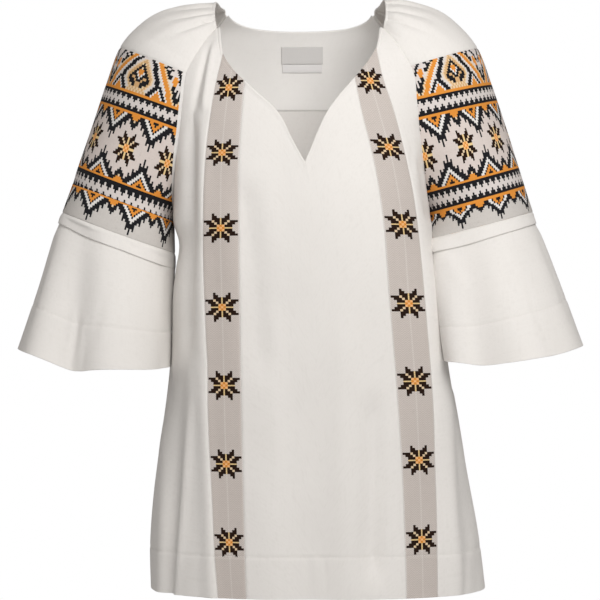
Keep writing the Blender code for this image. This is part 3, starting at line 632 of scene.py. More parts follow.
def sleeve(side):
    """Sleeve with the pleats of its head, the flutes of its flare and its small creases."""
    base = smooth_sleeve(side)

    def heart(part, row):
        return sleeve_line(side, row)[0]

    def surface(part, row):
        angle = np.degrees(part * sleeve_line(side, row)[3])
        points = base(part, row)
        across, down = points[..., 1] * UNEVEN_STRETCH, points[..., 2] + UNEVEN_SHIFT
        height = sleeve_folds(side, angle, row) + unevenness(across, down) * UNEVEN_SHARE
        edge = np.clip((1 - np.abs(part)) / SLEEVE_EDGE, 0, 1)
        return points + normals(base, part, row, heart) * (height * edge)[..., None]
    return surface, heart


SLEEVE_SURFACE = {side: sleeve(side) for side in SLEEVES}


# %% [markdown]
# ## Thin cloth from a grid
# A sheet of cloth has two faces and a narrow rim. One function takes a grid of points on a
# surface, moves it out or in by a given relief, adds the wrong side a cloth's thickness behind
# it and closes the rim. Each face keeps its place along and across the cloth in millimetres,
# which the weave reads, and may have a colour of its own, which is how counted patterns are
# worked: one stitch, one face.

# %% Mesh from grids
CLOTH, HEM_CLOTH = 0.7, 1.7                  # thickness of the cloth, and where it is turned up
UV_NAME, COLOUR_NAME = "cloth", "chart"


def corner_faces(index, flip):
    """Quads of a grid of point numbers."""
    quads = np.stack([index[:-1, :-1], index[1:, :-1], index[1:, 1:], index[:-1, 1:]], -1)
    quads = quads.reshape(-1, 4)
    return quads[:, ::-1] if flip else quads


def mesh_from(name, points, faces, uv, colour=None):
    """Mesh of quads, where corners at one place are merged and faces without area are left out."""
    places, number = np.unique(np.round(points, 4), axis=0, return_inverse=True)
    merged = number.reshape(-1)[faces]
    kept = merged != np.roll(merged, -1, axis=1)
    whole = kept.sum(1) >= 3
    opposite = (merged[:, 0] == merged[:, 2]) | (merged[:, 1] == merged[:, 3])
    whole &= ~opposite
    kept = kept & whole[:, None]
    count = kept.sum(1)[whole]
    mesh = bpy.data.meshes.new(name)
    mesh.vertices.add(len(places))
    mesh.vertices.foreach_set("co", (places * METRE).ravel())
    corners = merged[kept]
    mesh.loops.add(len(corners))
    mesh.loops.foreach_set("vertex_index", corners.astype(np.int32))
    mesh.polygons.add(len(count))
    starts = np.concatenate([[0], np.cumsum(count)[:-1]])
    mesh.polygons.foreach_set("loop_start", starts.astype(np.int32))
    layer = mesh.uv_layers.new(name=UV_NAME)
    layer.data.foreach_set("uv", (uv[faces][kept] * METRE).ravel())
    if colour is not None:
        layer = mesh.color_attributes.new(name=COLOUR_NAME, type="FLOAT_COLOR", domain="CORNER")
        rgba = np.concatenate([colour, np.ones((len(colour), 1))], 1)
        layer.data.foreach_set("color", np.repeat(rgba[:, None, :], 4, axis=1)[kept].ravel())
    mesh.update(calc_edges=True)
    mesh.validate()
    mesh.shade_smooth()
    return mesh


def spans(points, axis):
    """Length along one axis of a grid, from its first point."""
    steps = np.linalg.norm(np.diff(points, axis=axis), axis=-1)
    start = np.zeros_like(np.take(steps, [0], axis=axis))
    return np.concatenate([start, np.cumsum(steps, axis=axis)], axis=axis)


def add_piece(name, mesh, look, *replaced):
    """Object of a mesh on the one body, with its finish, and the nodes it stands for."""
    piece = bpy.data.objects.new(name, mesh)
    finish, slot = look
    piece.data.materials.append(finish)
    scene.collection.objects.link(piece)
    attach(piece, "root")
    if replaced:
        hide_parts(*replaced)


def cloth(node, look, place, a, b, relief, thick, uv=None, colours=None):
    """Sheet of cloth in place of a node, laid on a surface at (a, b).

    An outer grid is moved out by relief, an inner one lies a thickness behind it, and a rim joins
    them. place is the surface and its heart, colours are those of the two faces.
    """
    surface, heart = place
    a, b = np.broadcast_arrays(a, b)
    base = surface(a, b)
    away = normals(surface, a, b, heart)
    outer = base + away * np.broadcast_to(relief, a.shape)[..., None]
    inner = outer - away * np.broadcast_to(thick, a.shape)[..., None]
    facing = np.cross(np.diff(outer, axis=0)[:, :-1], np.diff(outer, axis=1)[:-1])
    flip = np.sum(facing * away[:-1, :-1]) < 0
    near = np.arange(a.size).reshape(a.shape)
    far = near + a.size
    edge = np.concatenate([near[:-1, 0], near[-1, :-1], near[:0:-1, -1], near[0, :0:-1]])
    ahead = np.roll(edge, -1)
    rim = np.stack([edge, edge + a.size, ahead + a.size, ahead], -1)
    rim = rim[:, ::-1] if flip else rim
    faces = np.concatenate([corner_faces(near, flip), corner_faces(far, not flip), rim])
    across, down = spans(base, 1), spans(base, 0)
    flat = np.stack(uv or (across, down), -1).reshape(-1, 2)
    colour = None
    if colours:
        front, behind = (face.reshape(-1, 3) for face in colours)
        colour = np.concatenate([front, behind, np.broadcast_to(front[:1], (len(rim), 3))])
    points = np.concatenate([outer.reshape(-1, 3), inner.reshape(-1, 3)])
    name = node + "_cloth"
    mesh = mesh_from(name, points, faces, np.concatenate([flat, flat]), colour)
    area = np.linalg.norm(facing, axis=-1).sum() * METRE ** 2
    wide, long = across[:, -1].max() * METRE, down[-1].max() * METRE
    print(f"{name}: {len(mesh.polygons)} faces, {area:.4f} m2 in {wide:.3f} x {long:.3f} m")
    add_piece(name, mesh, look, node)


# %% Seams and even spacing
SEAM_DEEP, SEAM_WIDE = 0.55, 1.5
EDGE_STEPS = (0.0, 0.5, 1.0, 1.6, 2.4, 3.5)
NECK_ROLL, ROLL_OVER = 3.0, 0.9              # width of the neck's turned edge, and of its step
ROLL_HIGH, ROLL_THICK = 0.5, 0.9             # its height and its added thickness
STITCH_LINE, STITCH_DEEP, STITCH_WIDE = 3.3, 0.35, 0.7      # place, depth and width of its seam
EDGE_DEEP, EDGE_THIN, EDGE_ROUND = 0.45, 0.7, 0.6      # how the very edge is rounded off


def spread(length, step):
    """Parts from 0 to 1 along a length in millimetres, close together beside both ends."""
    near = np.array(EDGE_STEPS) / length
    middle = np.linspace(near[-1], 1 - near[-1], max(int(length / step), 2))
    return np.concatenate([near[:-1], middle, 1 - near[:-1][::-1]])


def seam_dip(distance):
    """Cloth dips into a seam: a bell of its distance from the edge."""
    return -SEAM_DEEP * bell(distance, SEAM_WIDE)


def neck_roll(distance):
    """Relief and added thickness of the turned edge of the neck, with its line of stitching."""
    roll, edge = smooth((NECK_ROLL - distance) / ROLL_OVER), bell(distance, EDGE_ROUND)
    line = bell(distance - STITCH_LINE, STITCH_WIDE)
    relief = ROLL_HIGH * roll - STITCH_DEEP * line - EDGE_DEEP * edge
    return relief, ROLL_THICK * roll - EDGE_THIN * edge


def side_dips(points):
    """Dips along the first and last column of a grid."""
    across = spans(points, 1)
    return seam_dip(across) + seam_dip(across[:, -1:] - across)


# %% [markdown]
# ## White linen
# The plain panels are a light linen blend: two sets of threads that cross one over one, some
# thicker than others, with a soft, dry sheen. A photograph of linen would repeat and has no
# place here, so the weave is worked out: one wave for each set of threads, uneven noise drawn
# out along them, and a slow change of tone over the whole cloth.

# %% Linen finish
THREAD = 0.62 * METRE    # from one thread to the next
STREAK_DETAIL, STREAK_ROUGH = 2.0, 0.6
THREAD_SCALE, THREAD_NARROW, THREAD_PART = 0.9, 0.09, 0.55  # uneven threads, and their shade
SLUB_SCALE, SLUB_NARROW, SLUB_PART = 210.0, 0.12, 1.6       # broader streaks
CLOUD_SCALE, CLOUD_PART = 9.0, 0.7                          # a slow change of tone
CRUMPLE_SCALE, CRUMPLE_DETAIL = 60.0, 4.0
WEAVE_HIGH, CRUMPLE_HIGH, LINEN_BUMP = 0.00016, 0.0006, 0.55
LINEN_ROUGH, THREAD_ROUGH = 0.86, 0.05


def cloth_map(finish):
    """Place on the flat cloth, in metres."""
    return finish.node("ShaderNodeUVMap", {"uv_map": UV_NAME}, {})


def cloth_axes(finish):
    """Place along and across the cloth, as two numbers in metres."""
    split = finish.node("ShaderNodeSeparateXYZ", {}, {0: cloth_map(finish)})
    return split, Wire(finish, split.socket.node.outputs[1])


def streaks(finish, scale, narrow):
    """Uneven threads both ways, a number near 0: two noises drawn out into streaks."""
    at, total = cloth_map(finish), -1.0
    for stretch in ((1.0, narrow, 1.0), (narrow, 1.0, 1.0)):
        drawn = finish.node("ShaderNodeVectorMath", {"operation": "MULTIPLY"}, {0: at, 1: stretch})
        total = total + finish.node("ShaderNodeTexNoise", {}, {
            "Vector": drawn, "Scale": scale, "Detail": STREAK_DETAIL, "Roughness": STREAK_ROUGH})
    return total


def woven(finish, pitch, slub=0.5):
    """Height of a plain weave and the unevenness of its threads."""
    across, down = cloth_axes(finish)
    over = (across * (np.pi / pitch)).sine() * (down * (np.pi / pitch)).sine()
    uneven = streaks(finish, THREAD_SCALE / pitch, THREAD_NARROW)
    return over * 0.5 + uneven * slub, uneven


def cloud(finish, scale, detail=3.0):
    """Slow noise on the object's own place, a number near 0.5."""
    at = finish.node("ShaderNodeTexCoord", {}, {}, "Object")
    return finish.node("ShaderNodeTexNoise", {}, {"Vector": at, "Scale": scale, "Detail": detail})


def crumple(finish, high):
    """Height of the fine crumpling of soft cloth."""
    return cloud(finish, CRUMPLE_SCALE, CRUMPLE_DETAIL) * high


def linen(name, colour, shade):
    """Plain woven cloth: colour with uneven threads, shade in its hollows, and a fine bump."""
    finish = Finish(name, Sheen_Weight=0.15, Sheen_Roughness=0.5, IOR=1.45,
                    Specular_IOR_Level=0.3)
    height, uneven = woven(finish, THREAD)
    tone = finish.mix(cloud(finish, CLOUD_SCALE) * CLOUD_PART, colour, shade)
    tone = finish.mix(abs(uneven) * THREAD_PART, tone, shade)
    tone = finish.mix(abs(streaks(finish, SLUB_SCALE, SLUB_NARROW)) * SLUB_PART, tone, shade)
    bumped = finish.bump(height * WEAVE_HIGH + crumple(finish, CRUMPLE_HIGH), LINEN_BUMP)
    return finish.paint(Base_Color=tone, Roughness=LINEN_ROUGH - uneven * THREAD_ROUGH,
                        Normal=bumped)


white_linen = linen("white_linen", (0.87, 0.850, 0.826, 1.0), (0.78, 0.758, 0.732, 1.0))
# the facing is the same white cloth, painted lighter: painted light on the inside of the back,
# which the lamps leave too dim
facing_linen_painted_light = linen("facing_linen_painted_light", (0.95, 0.940, 0.920, 1.0), (0.90, 0.885, 0.865, 1.0))
PLAIN_LOOK, FACING_PAINTED_LIGHT_LOOK = (white_linen, "white_cloth"), (facing_linen_painted_light, "white_cloth")


# %% [markdown]
# ## Centre front and side fronts
# The front is cut in five: a centre panel with the round neck and its V slit, two patterned
# bands and two side panels. All lie on the one body surface, so a panel is only a patch of it
# between two edges. Each edge dips a little where it is sewn to the next one, and the two dips
# make the seam.

# %% Rows and columns of the front
CLOTH_STEP = 4.0         # between the rows
# distances below the hem's stitching
HEM_STEPS = np.array([-2.4, -1.2, 0.0, 1.2, 2.4, 5.0, 9.0, 14.0, 20.0, 27.0, 34.0, 39.0, 42.0,
                      43.6, 44.5, 45.0])
HEM_ROWS, HEM_HEIGHTS = len(HEM_STEPS), HEM_TOP - HEM_STEPS
HEM_CLEAR = 4.0                              # the even rows end this far above the stitching
HEM_PULL, HEM_PULL_WIDE = 0.40, 1.6          # how deep and how wide it pulls the cloth in
HEM_PROUD, HEM_PROUD_OVER, HEM_STEP = 0.22, 3.0, 1.4
HEM_THIN, HEM_THIN_OVER = 0.7, 2.0           # the lower edge is rounded off


def neckline(x):
    """Height of the front neckline at x."""
    out = np.abs(x - NECK_TIP_X)
    return np.where(x < NECK_TIP_X, NECK_LEFT.read("z", out), NECK_RIGHT.read("z", out))


def neck_corner(band, edge):
    """Where a band's edge meets the neckline, found by stepping between the two curves."""
    z = NECK_START_Z
    for _ in range(NECK_TRIES):
        z = float(neckline(band.read(edge, z)))
    return z


def hem_rows(top):
    """Heights from a top edge to the hem: even rows, then close ones round the hem's stitching."""
    down = spread(float(np.mean(top)) - HEM_TOP, CLOTH_STEP)[:, None]
    upper = mix(np.atleast_1d(top)[None, :], HEM_TOP + HEM_CLEAR, down)
    return np.concatenate([upper, HEM_HEIGHTS[:, None] + 0 * upper[:1]])


def hem_shape(below, proud=HEM_PROUD):
    """Relief and thickness of the cloth at a distance below the hem's stitching.

    The stitching pulls the cloth in. The turned-up cloth below it is thicker and lies proud.
    """
    relief = proud * smooth(below / HEM_PROUD_OVER) - HEM_PULL * bell(below, HEM_PULL_WIDE)
    thick = mix(CLOTH, HEM_CLOTH, smooth(below / HEM_STEP))
    return relief, thick - HEM_THIN * smooth((below - HEM_DEEP + HEM_THIN_OVER) / HEM_THIN_OVER)


def edge_angle(band, edge):
    """Angle of a band's edge at a height."""
    return lambda z: angle_at(FRONT, band.read(edge, z), z)


def front_patch(low, high, x_top):
    """Angles and heights of a front panel between two edges, with its columns starting at x_top."""
    top = neckline(x_top)
    start = angle_at(FRONT, x_top, top)
    share = np.clip((start - low(top)) / (high(top) - low(top)), 0, 1)
    z = hem_rows(top)
    return mix(low(z), high(z), share[None, :]), z


# %% Line of the neck
BANDS = {"left": BAND_LEFT, "right": BAND_RIGHT}
corner_x = {}
for side, band in BANDS.items():
    for edge in ("inner", "outer"):
        corner_x[side, edge] = float(band.read(edge, neck_corner(band, edge)))


def neck_side(side, count):
    """Neckline above a band's outer corner: x and z, from the raglan seam down."""
    band, out = BANDS[side], OUTWARDS[side]
    corner_z = neck_corner(band, "outer")
    z = np.linspace(FRONT_NECK_Z, corner_z, count)
    part = (z - FRONT_NECK_Z) / (corner_z - FRONT_NECK_Z)
    return mix(out * FRONT_NECK_HALF, float(band.read("outer", corner_z)), part ** NECK_CURVE), z


FRONT_POINTS, SIDE_POINTS = 361, 40          # points of the line between the bands, and beside
neck_x = np.linspace(corner_x["left", "outer"], corner_x["right", "outer"], FRONT_POINTS)
neck_line = np.concatenate([
    np.stack(neck_side("left", SIDE_POINTS)), np.stack([neck_x, neckline(neck_x)]),
    np.stack(neck_side("right", SIDE_POINTS))[:, ::-1]], axis=1)


def from_neck(points):
    """Distance of each point from the front neckline, seen from the front."""
    apart = np.hypot(points[..., 0, None] - neck_line[0], points[..., 2, None] - neck_line[1])
    return apart.min(-1)


FRONT_PLACE, BACK_PLACE = (front_surface, body_heart), (back_surface, body_heart)


def body_piece(node, place, angle, z, neck=from_neck, look=PLAIN_LOOK, **more):
    """Piece of the body with dipped seams at its sides, a turned edge at the neck and a hem."""
    base = place[0](angle, z)
    roll, rolled = neck_roll(neck(base))
    hem, thick = hem_shape(HEM_TOP - z)
    cloth(node, look, place, angle, z, side_dips(base) + hem + roll, thick + rolled, **more)


# %% Centre front
NECK_STEP = 2.0          # between the columns
reach_left = NECK_TIP_X - corner_x["left", "inner"]
reach_right = corner_x["right", "inner"] - NECK_TIP_X
x_top = np.concatenate([corner_x["left", "inner"] + reach_left * spread(reach_left, NECK_STEP),
                        (NECK_TIP_X + reach_right * spread(reach_right, NECK_STEP))[1:]])
angle, z = front_patch(edge_angle(BAND_LEFT, "inner"), edge_angle(BAND_RIGHT, "inner"), x_top)
body_piece("front_centre", FRONT_PLACE, angle, z)

# %% Side fronts
NECK_ROWS = 14
RAGLAN_SHARE = 0.40      # share of a side front's rows that end on the raglan seam
SEAM_OVER = 0.010        # the body's panels go on this far past the sleeve's seams, in radians
SIDE_LONG, SIDE_STEP = 60.0, 1.7


def seam_heights(side, column, raglan, straight):
    """Heights down a panel's edge: rows along the raglan seam, along the side seam and the hem."""
    seam = SLEEVES[side].read(column, np.linspace(0, ROW_UNDERARM, raglan))
    below = np.linspace(UNDERARM_Z, HEM_TOP + HEM_CLEAR, straight + 1)[1:]
    return np.concatenate([seam, below, HEM_HEIGHTS])


def side_front(side):
    """Side front: a strip of neckline, then from the band's edge to the raglan and side seams."""
    neck_x, neck_z = neck_side(side, NECK_ROWS)
    band_z = hem_rows(neck_z[-1])[:, 0]
    inner_z = np.concatenate([neck_z[:-1], band_z])
    inner_x = np.concatenate([neck_x[:-1], BANDS[side].read("outer", band_z)])
    raglan = int(len(inner_z) * RAGLAN_SHARE)
    outer_z = seam_heights(side, "front_z", raglan, len(inner_z) - raglan - HEM_ROWS)
    share = spread(SIDE_LONG, SIDE_STEP)[None, :]
    inner_angle = angle_at(FRONT, inner_x, inner_z)
    outer_angle = OUTWARDS[side] * (section(FRONT, outer_z)[5] + SEAM_OVER)
    angle = mix(inner_angle[:, None], outer_angle[:, None], share)
    z = mix(inner_z[:, None], outer_z[:, None], share)
    body_piece("front_side_" + side, FRONT_PLACE, angle, z)


for side in BANDS:
    side_front(side)

# %% [markdown]
# ## Back, facing, label and tab
# The back is one panel, cut like the front but with a shallow neck. Inside it a facing
# strengthens the neck and carries a small woven label and a size tab. Both tags stay bare. The
# facing and the tags lie on the back's own surface, each a little further in than the one
# before.

# %% Back
BACK_LONG, BACK_STEP = 300.0, 4.0            # width on which its columns are spread, and their step
RAGLAN_ROWS, STRAIGHT_ROWS = 61, 91


def back_grid(share, inset, rows=None):
    """Angles and heights of the back: its top follows the neckline, its rows join both seams."""
    part = share[None, :]
    left, right = (seam_heights(side, "back_z", RAGLAN_ROWS, STRAIGHT_ROWS)[:rows, None]
                   for side in SLEEVES)
    z_edge = mix(left, right, part)
    angle = mix(inset - section(BACK, left)[5], section(BACK, right)[5] - inset, part)
    across = np.abs(part * 2 - 1)
    fade = np.clip(1 - (BACK_NECK_Z - z_edge) / BACK_NECK_FADE, 0, 1)
    return angle, z_edge - BACK_NECK_DIP * (1 - across ** BACK_NECK_SQUARE) * fade


def back_edge_rows(z):
    """The first rows drawn up towards the neck, so that its turned edge has rows of its own."""
    step = z[:1] - z[len(EDGE_STEPS)]
    for number, down in enumerate(EDGE_STEPS[:-1]):
        z[number] = z[0] - np.minimum(down, step * number / len(EDGE_STEPS))
    return z


def from_top(points):
    """Distance of each point of a grid from its first row."""
    return spans(points, 0)


angle, z = back_grid(spread(BACK_LONG, BACK_STEP), -SEAM_OVER)
body_piece("back", BACK_PLACE, angle, back_edge_rows(z), from_top)

# %% Facing, label and tab
FACING_Z, FACING_INSET, FACING_CLOTH, FACING_ROWS = -113.0, 0.03, 0.5, 40
FACING_LONG, FACING_STEP = 180.0, 5.0
FACING_EDGE, FACING_THIN = 0.3, 6.0          # the lower edge is pressed thin, over this depth
LIE = 0.15                                   # from one layer to the next
LABEL = {"x": 2.5, "top": -40.2, "bottom": -59.4, "wide": 48.0}
TAB = {"x": 2.5, "top": -59.9, "bottom": -69.2, "wide": 46.0}
TAG_WIDE_STEP, TAG_HIGH_STEP = 1.5, 1.2
TAG_CLOTH, TAG_CLEAR, TAG_LIFT, TAG_LIFT_OVER = 0.45, 0.2, 0.25, 3.0

angle, z = back_grid(spread(FACING_LONG, FACING_STEP), FACING_INSET, FACING_ROWS)
level = mix(z[:1], FACING_Z, np.linspace(0, 1, len(z))[:, None])
z = np.maximum(z, level)
z[-1] = FACING_Z
pressed = mix(FACING_EDGE, 1, smooth((z - FACING_Z) / FACING_THIN)) * FACING_CLOTH
# the facing's paler linen is painted light, standing in for light on the inside of the back
cloth("back_neck_facing", FACING_PAINTED_LIGHT_LOOK, BACK_PLACE, angle, z, -CLOTH - LIE, pressed)


def tag(node, size, look, out):
    """Small woven tag on the facing, whose lower edge lies a little closer to it."""
    x = size["x"] + (spread(size["wide"], TAG_WIDE_STEP)[None, :] - 0.5) * size["wide"]
    down = spread(size["top"] - size["bottom"], TAG_HIGH_STEP)
    z = mix(size["top"], size["bottom"], down)[:, None] + 0 * x
    lift = -TAG_LIFT * smooth((z - size["bottom"]) / TAG_LIFT_OVER)
    cloth(node, look, BACK_PLACE, angle_at(BACK, x, z), z, out + lift, TAG_CLOTH)


RIBBON_PITCH, RIBBON_SLUB, RIBBON_PART = 0.4 * METRE, 0.3, 0.9
RIBBON_HIGH, RIBBON_BUMP, RIBBON_ROUGH, RIBBON_UNEVEN = 0.00008, 0.5, 0.62, 0.06


def satin(name, colour, shade):
    """Smooth woven ribbon: fine ribs across it and a mild gloss."""
    finish = Finish(name, Sheen_Weight=0.08, IOR=1.48)
    height, uneven = woven(finish, RIBBON_PITCH, RIBBON_SLUB)
    tone = finish.mix(abs(uneven) * RIBBON_PART, colour, shade)
    return finish.paint(Base_Color=tone, Roughness=RIBBON_ROUGH - uneven * RIBBON_UNEVEN,
                        Normal=finish.bump(height * RIBBON_HIGH, RIBBON_BUMP))


label_satin = satin("grey_label", (0.74, 0.73, 0.72, 1.0), (0.62, 0.61, 0.60, 1.0))
tab_satin = satin("white_tab", (0.86, 0.85, 0.85, 1.0), (0.76, 0.75, 0.75, 1.0))
INSIDE = -CLOTH - FACING_CLOTH - 2 * LIE - TAG_CLEAR
tag("neck_label", LABEL, (label_satin, "label_cloth"), INSIDE)
tag("size_tab", TAB, (tab_satin, "tab_cloth"), INSIDE)


# %% [markdown]
# ## The counted star
# The bands and the sleeves share one old motif, an eight-pointed star worked over counted
# threads. It is the same in all four quarters, so a chart of one quarter is enough and the rest
# is mirrored. Each letter is one stitch: D dark, w a pale dot, y a thin pale-yellow line, o and
# O the orange centre.

# %% Star chart
STAR_QUARTER = ["...D...", "...DD..", "...DDDy", "DDDwDDy", ".DDDwDy", "..DDDOo", "..yyyoO"]
STAR_HALF = len(STAR_QUARTER) - 1
THREADS = {
    "pale": (0.740, 0.690, 0.670), "ground": (0.720, 0.645, 0.610), "grey": (0.620, 0.595, 0.570),
    "white": (0.800, 0.785, 0.770), "black": (0.012, 0.012, 0.015), "dark": (0.020, 0.008, 0.004),
    "orange": (0.800, 0.310, 0.050), "bright": (0.980, 0.560, 0.250),
    "tan": (0.700, 0.440, 0.210), "cream": (0.830, 0.650, 0.430), "yellow": (0.860, 0.640, 0.320),
}
NAMES, PALETTE = list(THREADS), np.array(list(THREADS.values()))
LETTERS = {"D": "dark", "w": "cream", "y": "yellow", "o": "orange", "O": "bright"}


def star_at(across, down):
    """Thread number of the star at whole steps from its centre, -1 outside it."""
    quarter = np.array([[NAMES.index(LETTERS[c]) if c in LETTERS else -1 for c in row]
                        for row in STAR_QUARTER])
    near = (np.abs(across) <= STAR_HALF) & (np.abs(down) <= STAR_HALF)
    row = STAR_HALF - np.minimum(np.abs(down), STAR_HALF)
    column = STAR_HALF - np.minimum(np.abs(across), STAR_HALF)
    return np.where(near, quarter[row, column], -1)


# %% [markdown]
# ## Patterned bands
# Each band is a strip of grey herringbone from neck to hem, with seven stars. The grid of a band
# is counted out in stitches, so a star's edge falls on the mesh's own edges and stays sharp at
# any distance. Where the neckline cuts across it, the rows above are gathered into the edge.

# %% Band finish
BAND_WIDE = 39.0
BAND_CELL = 2.80         # a star of 13 stitches is almost as wide as the band
LINE_HALF = 0.28         # half the width of a star's pale lines, in stitches
STAR_PITCH = 35          # rows of stitches from one star to the next
PAST_STARS = 40          # rows of stitches above the first star and below the last
# heights of the seven stars' middles, and how tall each one stands on the sloping chest
STARS = {
    "left": [(-103.6, 29.6), (-174.8, 28.6), (-256.0, 31.2), (-340.8, 31.3), (-424.7, 31.3),
             (-509.0, 31.3), (-592.8, 31.3)],
    "right": [(-96.1, 29.2), (-168.3, 28.9), (-251.7, 31.8), (-336.7, 31.8), (-420.5, 31.7),
              (-505.6, 31.7), (-590.7, 31.7)],
}
HERRINGBONE, CHEVRON = 2.4 * METRE, 3.4 * METRE
COUNTED_PITCH, COUNTED_ROUGH, COUNTED_UNEVEN, COUNTED_CRUMPLE = 0.72 * METRE, 0.84, 0.05, 0.0005
RIB_HIGH, RIB_PART, RIB_HOLLOW = 0.00016, 0.6, (0.66, 0.64, 0.63, 1.0)


def darker(finish, part, colour, by):
    """Colour multiplied by another where part is high."""
    return finish.node("ShaderNodeMix", {"data_type": "RGBA", "blend_type": "MULTIPLY"},
                       {0: part, 6: colour, 7: by}, 2)


def counted(name, hollow, high, strength, ribbed=False):
    """Counted cloth: the chart's colours, darker in the hollows of its weave and of its ribs."""
    finish = Finish(name, Sheen_Weight=0.03, Sheen_Roughness=0.5, IOR=1.35,
                    Specular_IOR_Level=0.25)
    tone = finish.node("ShaderNodeVertexColor", {"layer_name": COLOUR_NAME}, {})
    height, uneven = woven(finish, COUNTED_PITCH)
    height = height * high
    if ribbed:
        across, down = cloth_axes(finish)
        ribs = (((across / CHEVRON).wave() * CHEVRON + down) / (HERRINGBONE / 2)).wave()
        tone = darker(finish, ribs * RIB_PART, tone, RIB_HOLLOW)
        height = height + ribs * RIB_HIGH
    tone = darker(finish, abs(uneven), tone, hollow)
    bumped = finish.bump(height + crumple(finish, COUNTED_CRUMPLE), strength)
    return finish.paint(Base_Color=tone, Roughness=COUNTED_ROUGH - uneven * COUNTED_UNEVEN,
                        Normal=bumped)


BAND_LOOK = (counted("grey_herringbone", (0.7, 0.68, 0.66, 1.0), 0.00012, 0.5, True), "band_cloth")
PATTERN_LOOK = (counted("counted_pattern", (0.6, 0.58, 0.56, 1.0), 0.00022, 0.6), "patterned_cloth")

# %% Band mesh
BAND_GROUND = np.array([0.660, 0.605, 0.570])
BAND_EDGE = np.array([0.760, 0.725, 0.700])
BAND_MIDDLE = np.array([0.720, 0.675, 0.640])
BAND_EDGE_WIDE, BAND_MIDDLE_HALF = 1.0, 0.8  # the pale lines at its edges and in its middle
OFF_STAR = 99                                # a row that belongs to no star
ABOVE_HEM = 1.0                              # the last row of stitches ends this far above the edge
BAND_BEHIND = 0.4                            # how far the wrong side's colour is the ground's


def band_columns():
    """Columns as parts of the band's width: 13 for a star, then the plain margin and the seams."""
    inner = np.arange(-STAR_HALF - 0.5, STAR_HALF + 0.75, 0.5)
    inner = np.sort(np.append(inner, [-LINE_HALF, LINE_HALF])) * BAND_CELL / BAND_WIDE + 0.5
    edge = np.array(EDGE_STEPS[:3]) / BAND_WIDE
    return np.concatenate([edge, inner, 1 - edge[::-1]])


def band_rows(side):
    """Stitch numbers from the first star's top, and their heights: even between the stars."""
    stars = STARS[side]
    size = 2 * STAR_HALF + 1
    known = [(STAR_PITCH * k + dz, z - (dz / size - 0.5) * tall)
             for k, (z, tall) in enumerate(stars) for dz in (0, size)]
    number, height = np.array(known).T
    past = PAST_STARS * stars[-1][1] / size
    number = np.concatenate([[number[0] - PAST_STARS], number, [number[-1] + PAST_STARS]])
    height = np.concatenate([[height[0] + past], height, [height[-1] - past]])
    stitch = np.arange(number[0] * 2, number[-1] * 2 + 1) / 2
    middles = np.arange(len(stars)) * STAR_PITCH + size / 2
    stitch = np.sort(np.concatenate([stitch, middles - LINE_HALF, middles + LINE_HALF]))
    return stitch, np.interp(stitch, number, height)


def band_colours(side, columns, middle):
    """Colours between the columns and at the stitch numbers of the rows' middles."""
    number = np.floor(middle / STAR_PITCH)
    shown = (number >= 0) & (number < len(STARS[side]))
    row = middle - number * STAR_PITCH
    down = np.where(shown, np.floor(row) - STAR_HALF, OFF_STAR).astype(int)[:, None]
    off = (columns[:-1] + columns[1:]) / 2 - 0.5
    stitches = off * BAND_WIDE / BAND_CELL
    across = np.round(stitches).astype(int)[None, :]
    star = star_at(across, down)
    off_line = np.abs(row - STAR_HALF - 0.5)[:, None] > LINE_HALF
    off_line = off_line & (np.abs(stitches) > LINE_HALF)
    star = np.where((star == NAMES.index("yellow")) & off_line, NAMES.index("dark"), star)
    from_middle = np.abs(off[:, None]) * BAND_WIDE
    ground = np.where(BAND_WIDE / 2 - from_middle < BAND_EDGE_WIDE, BAND_EDGE, BAND_GROUND)
    ground = np.where(from_middle < BAND_MIDDLE_HALF, BAND_MIDDLE, ground)
    return np.where(star[..., None] >= 0, PALETTE[star], ground[None])


def band_piece(side):
    """Band counted out in stitches from neck to hem, cut off by the neckline and the hem."""
    band = BANDS[side]
    low, high = ("outer", "inner") if side == "left" else ("inner", "outer")
    columns = band_columns()
    stitch, stitch_z = band_rows(side)
    row_z = np.concatenate([stitch_z[stitch_z > HEM_Z + ABOVE_HEM], HEM_HEIGHTS])
    row_z = np.unique(np.round(row_z, 3))[::-1]
    top = neckline(mix(corner_x[side, low], corner_x[side, high], columns))
    z = np.minimum(row_z[:, None], top[None, :])
    angle = mix(edge_angle(band, low)(z), edge_angle(band, high)(z), columns[None, :])
    middle = np.interp(-(row_z[:-1] + row_z[1:]) / 2, -stitch_z, stitch)
    colour = band_colours(side, columns, middle)
    width = (columns[None, :] - 0.5) * BAND_WIDE
    body_piece("front_band_" + side, FRONT_PLACE, angle, z, look=BAND_LOOK,
               uv=(width + 0 * z, z - HEM_Z),
               colours=(colour, mix(colour, BAND_GROUND, BAND_BEHIND)))


for side in BANDS:
    band_piece(side)


# %% [markdown]
# ## The sleeve's counted pattern
# The heavy pattern is a chart of 73 rows that repeats every 24 stitches, or 48 in its topmost
# zone. It is built from a few simple shapes: diagonal lines, which are sums of the steps across
# and down, and diamonds, which are sums of their sizes. Writing those sums down gives the whole
# cloth in a page of rules, where a picture of it would only be a copy.

# %% Chart of the sleeve
REPEAT, WIDE_REPEAT = 24, 48
CHART_ROWS = 73
# first rows of the upper border, the star zone, the lower border and the last zone
B_TOP, C_TOP, F_TOP, G_TOP = 15, 24, 51, 60
STAR_ROW = 37
# columns from a star's axis to the axis of a large diamond, and how far its top leans, in mm
DIAMOND_AXIS = {"left": (-6, 2.4), "right": (-8, -1.0)}


def centred(column, period):
    """Steps from the nearest axis of a repeat, below zero before it."""
    return (column + period // 2) % period - period // 2


def folded(column, period):
    """Steps from the nearest axis, without the sign."""
    return np.abs(centred(column, period))


class Chart:
    """Grid of thread numbers, filled rule by rule. A later rule covers an earlier one."""

    def __init__(self, shape, ground):
        self.grid = np.full(shape, NAMES.index(ground))

    def put(self, numbers, where):
        self.grid = np.where(where, numbers, self.grid)

    def lay(self, thread, where):
        self.put(NAMES.index(thread), where)


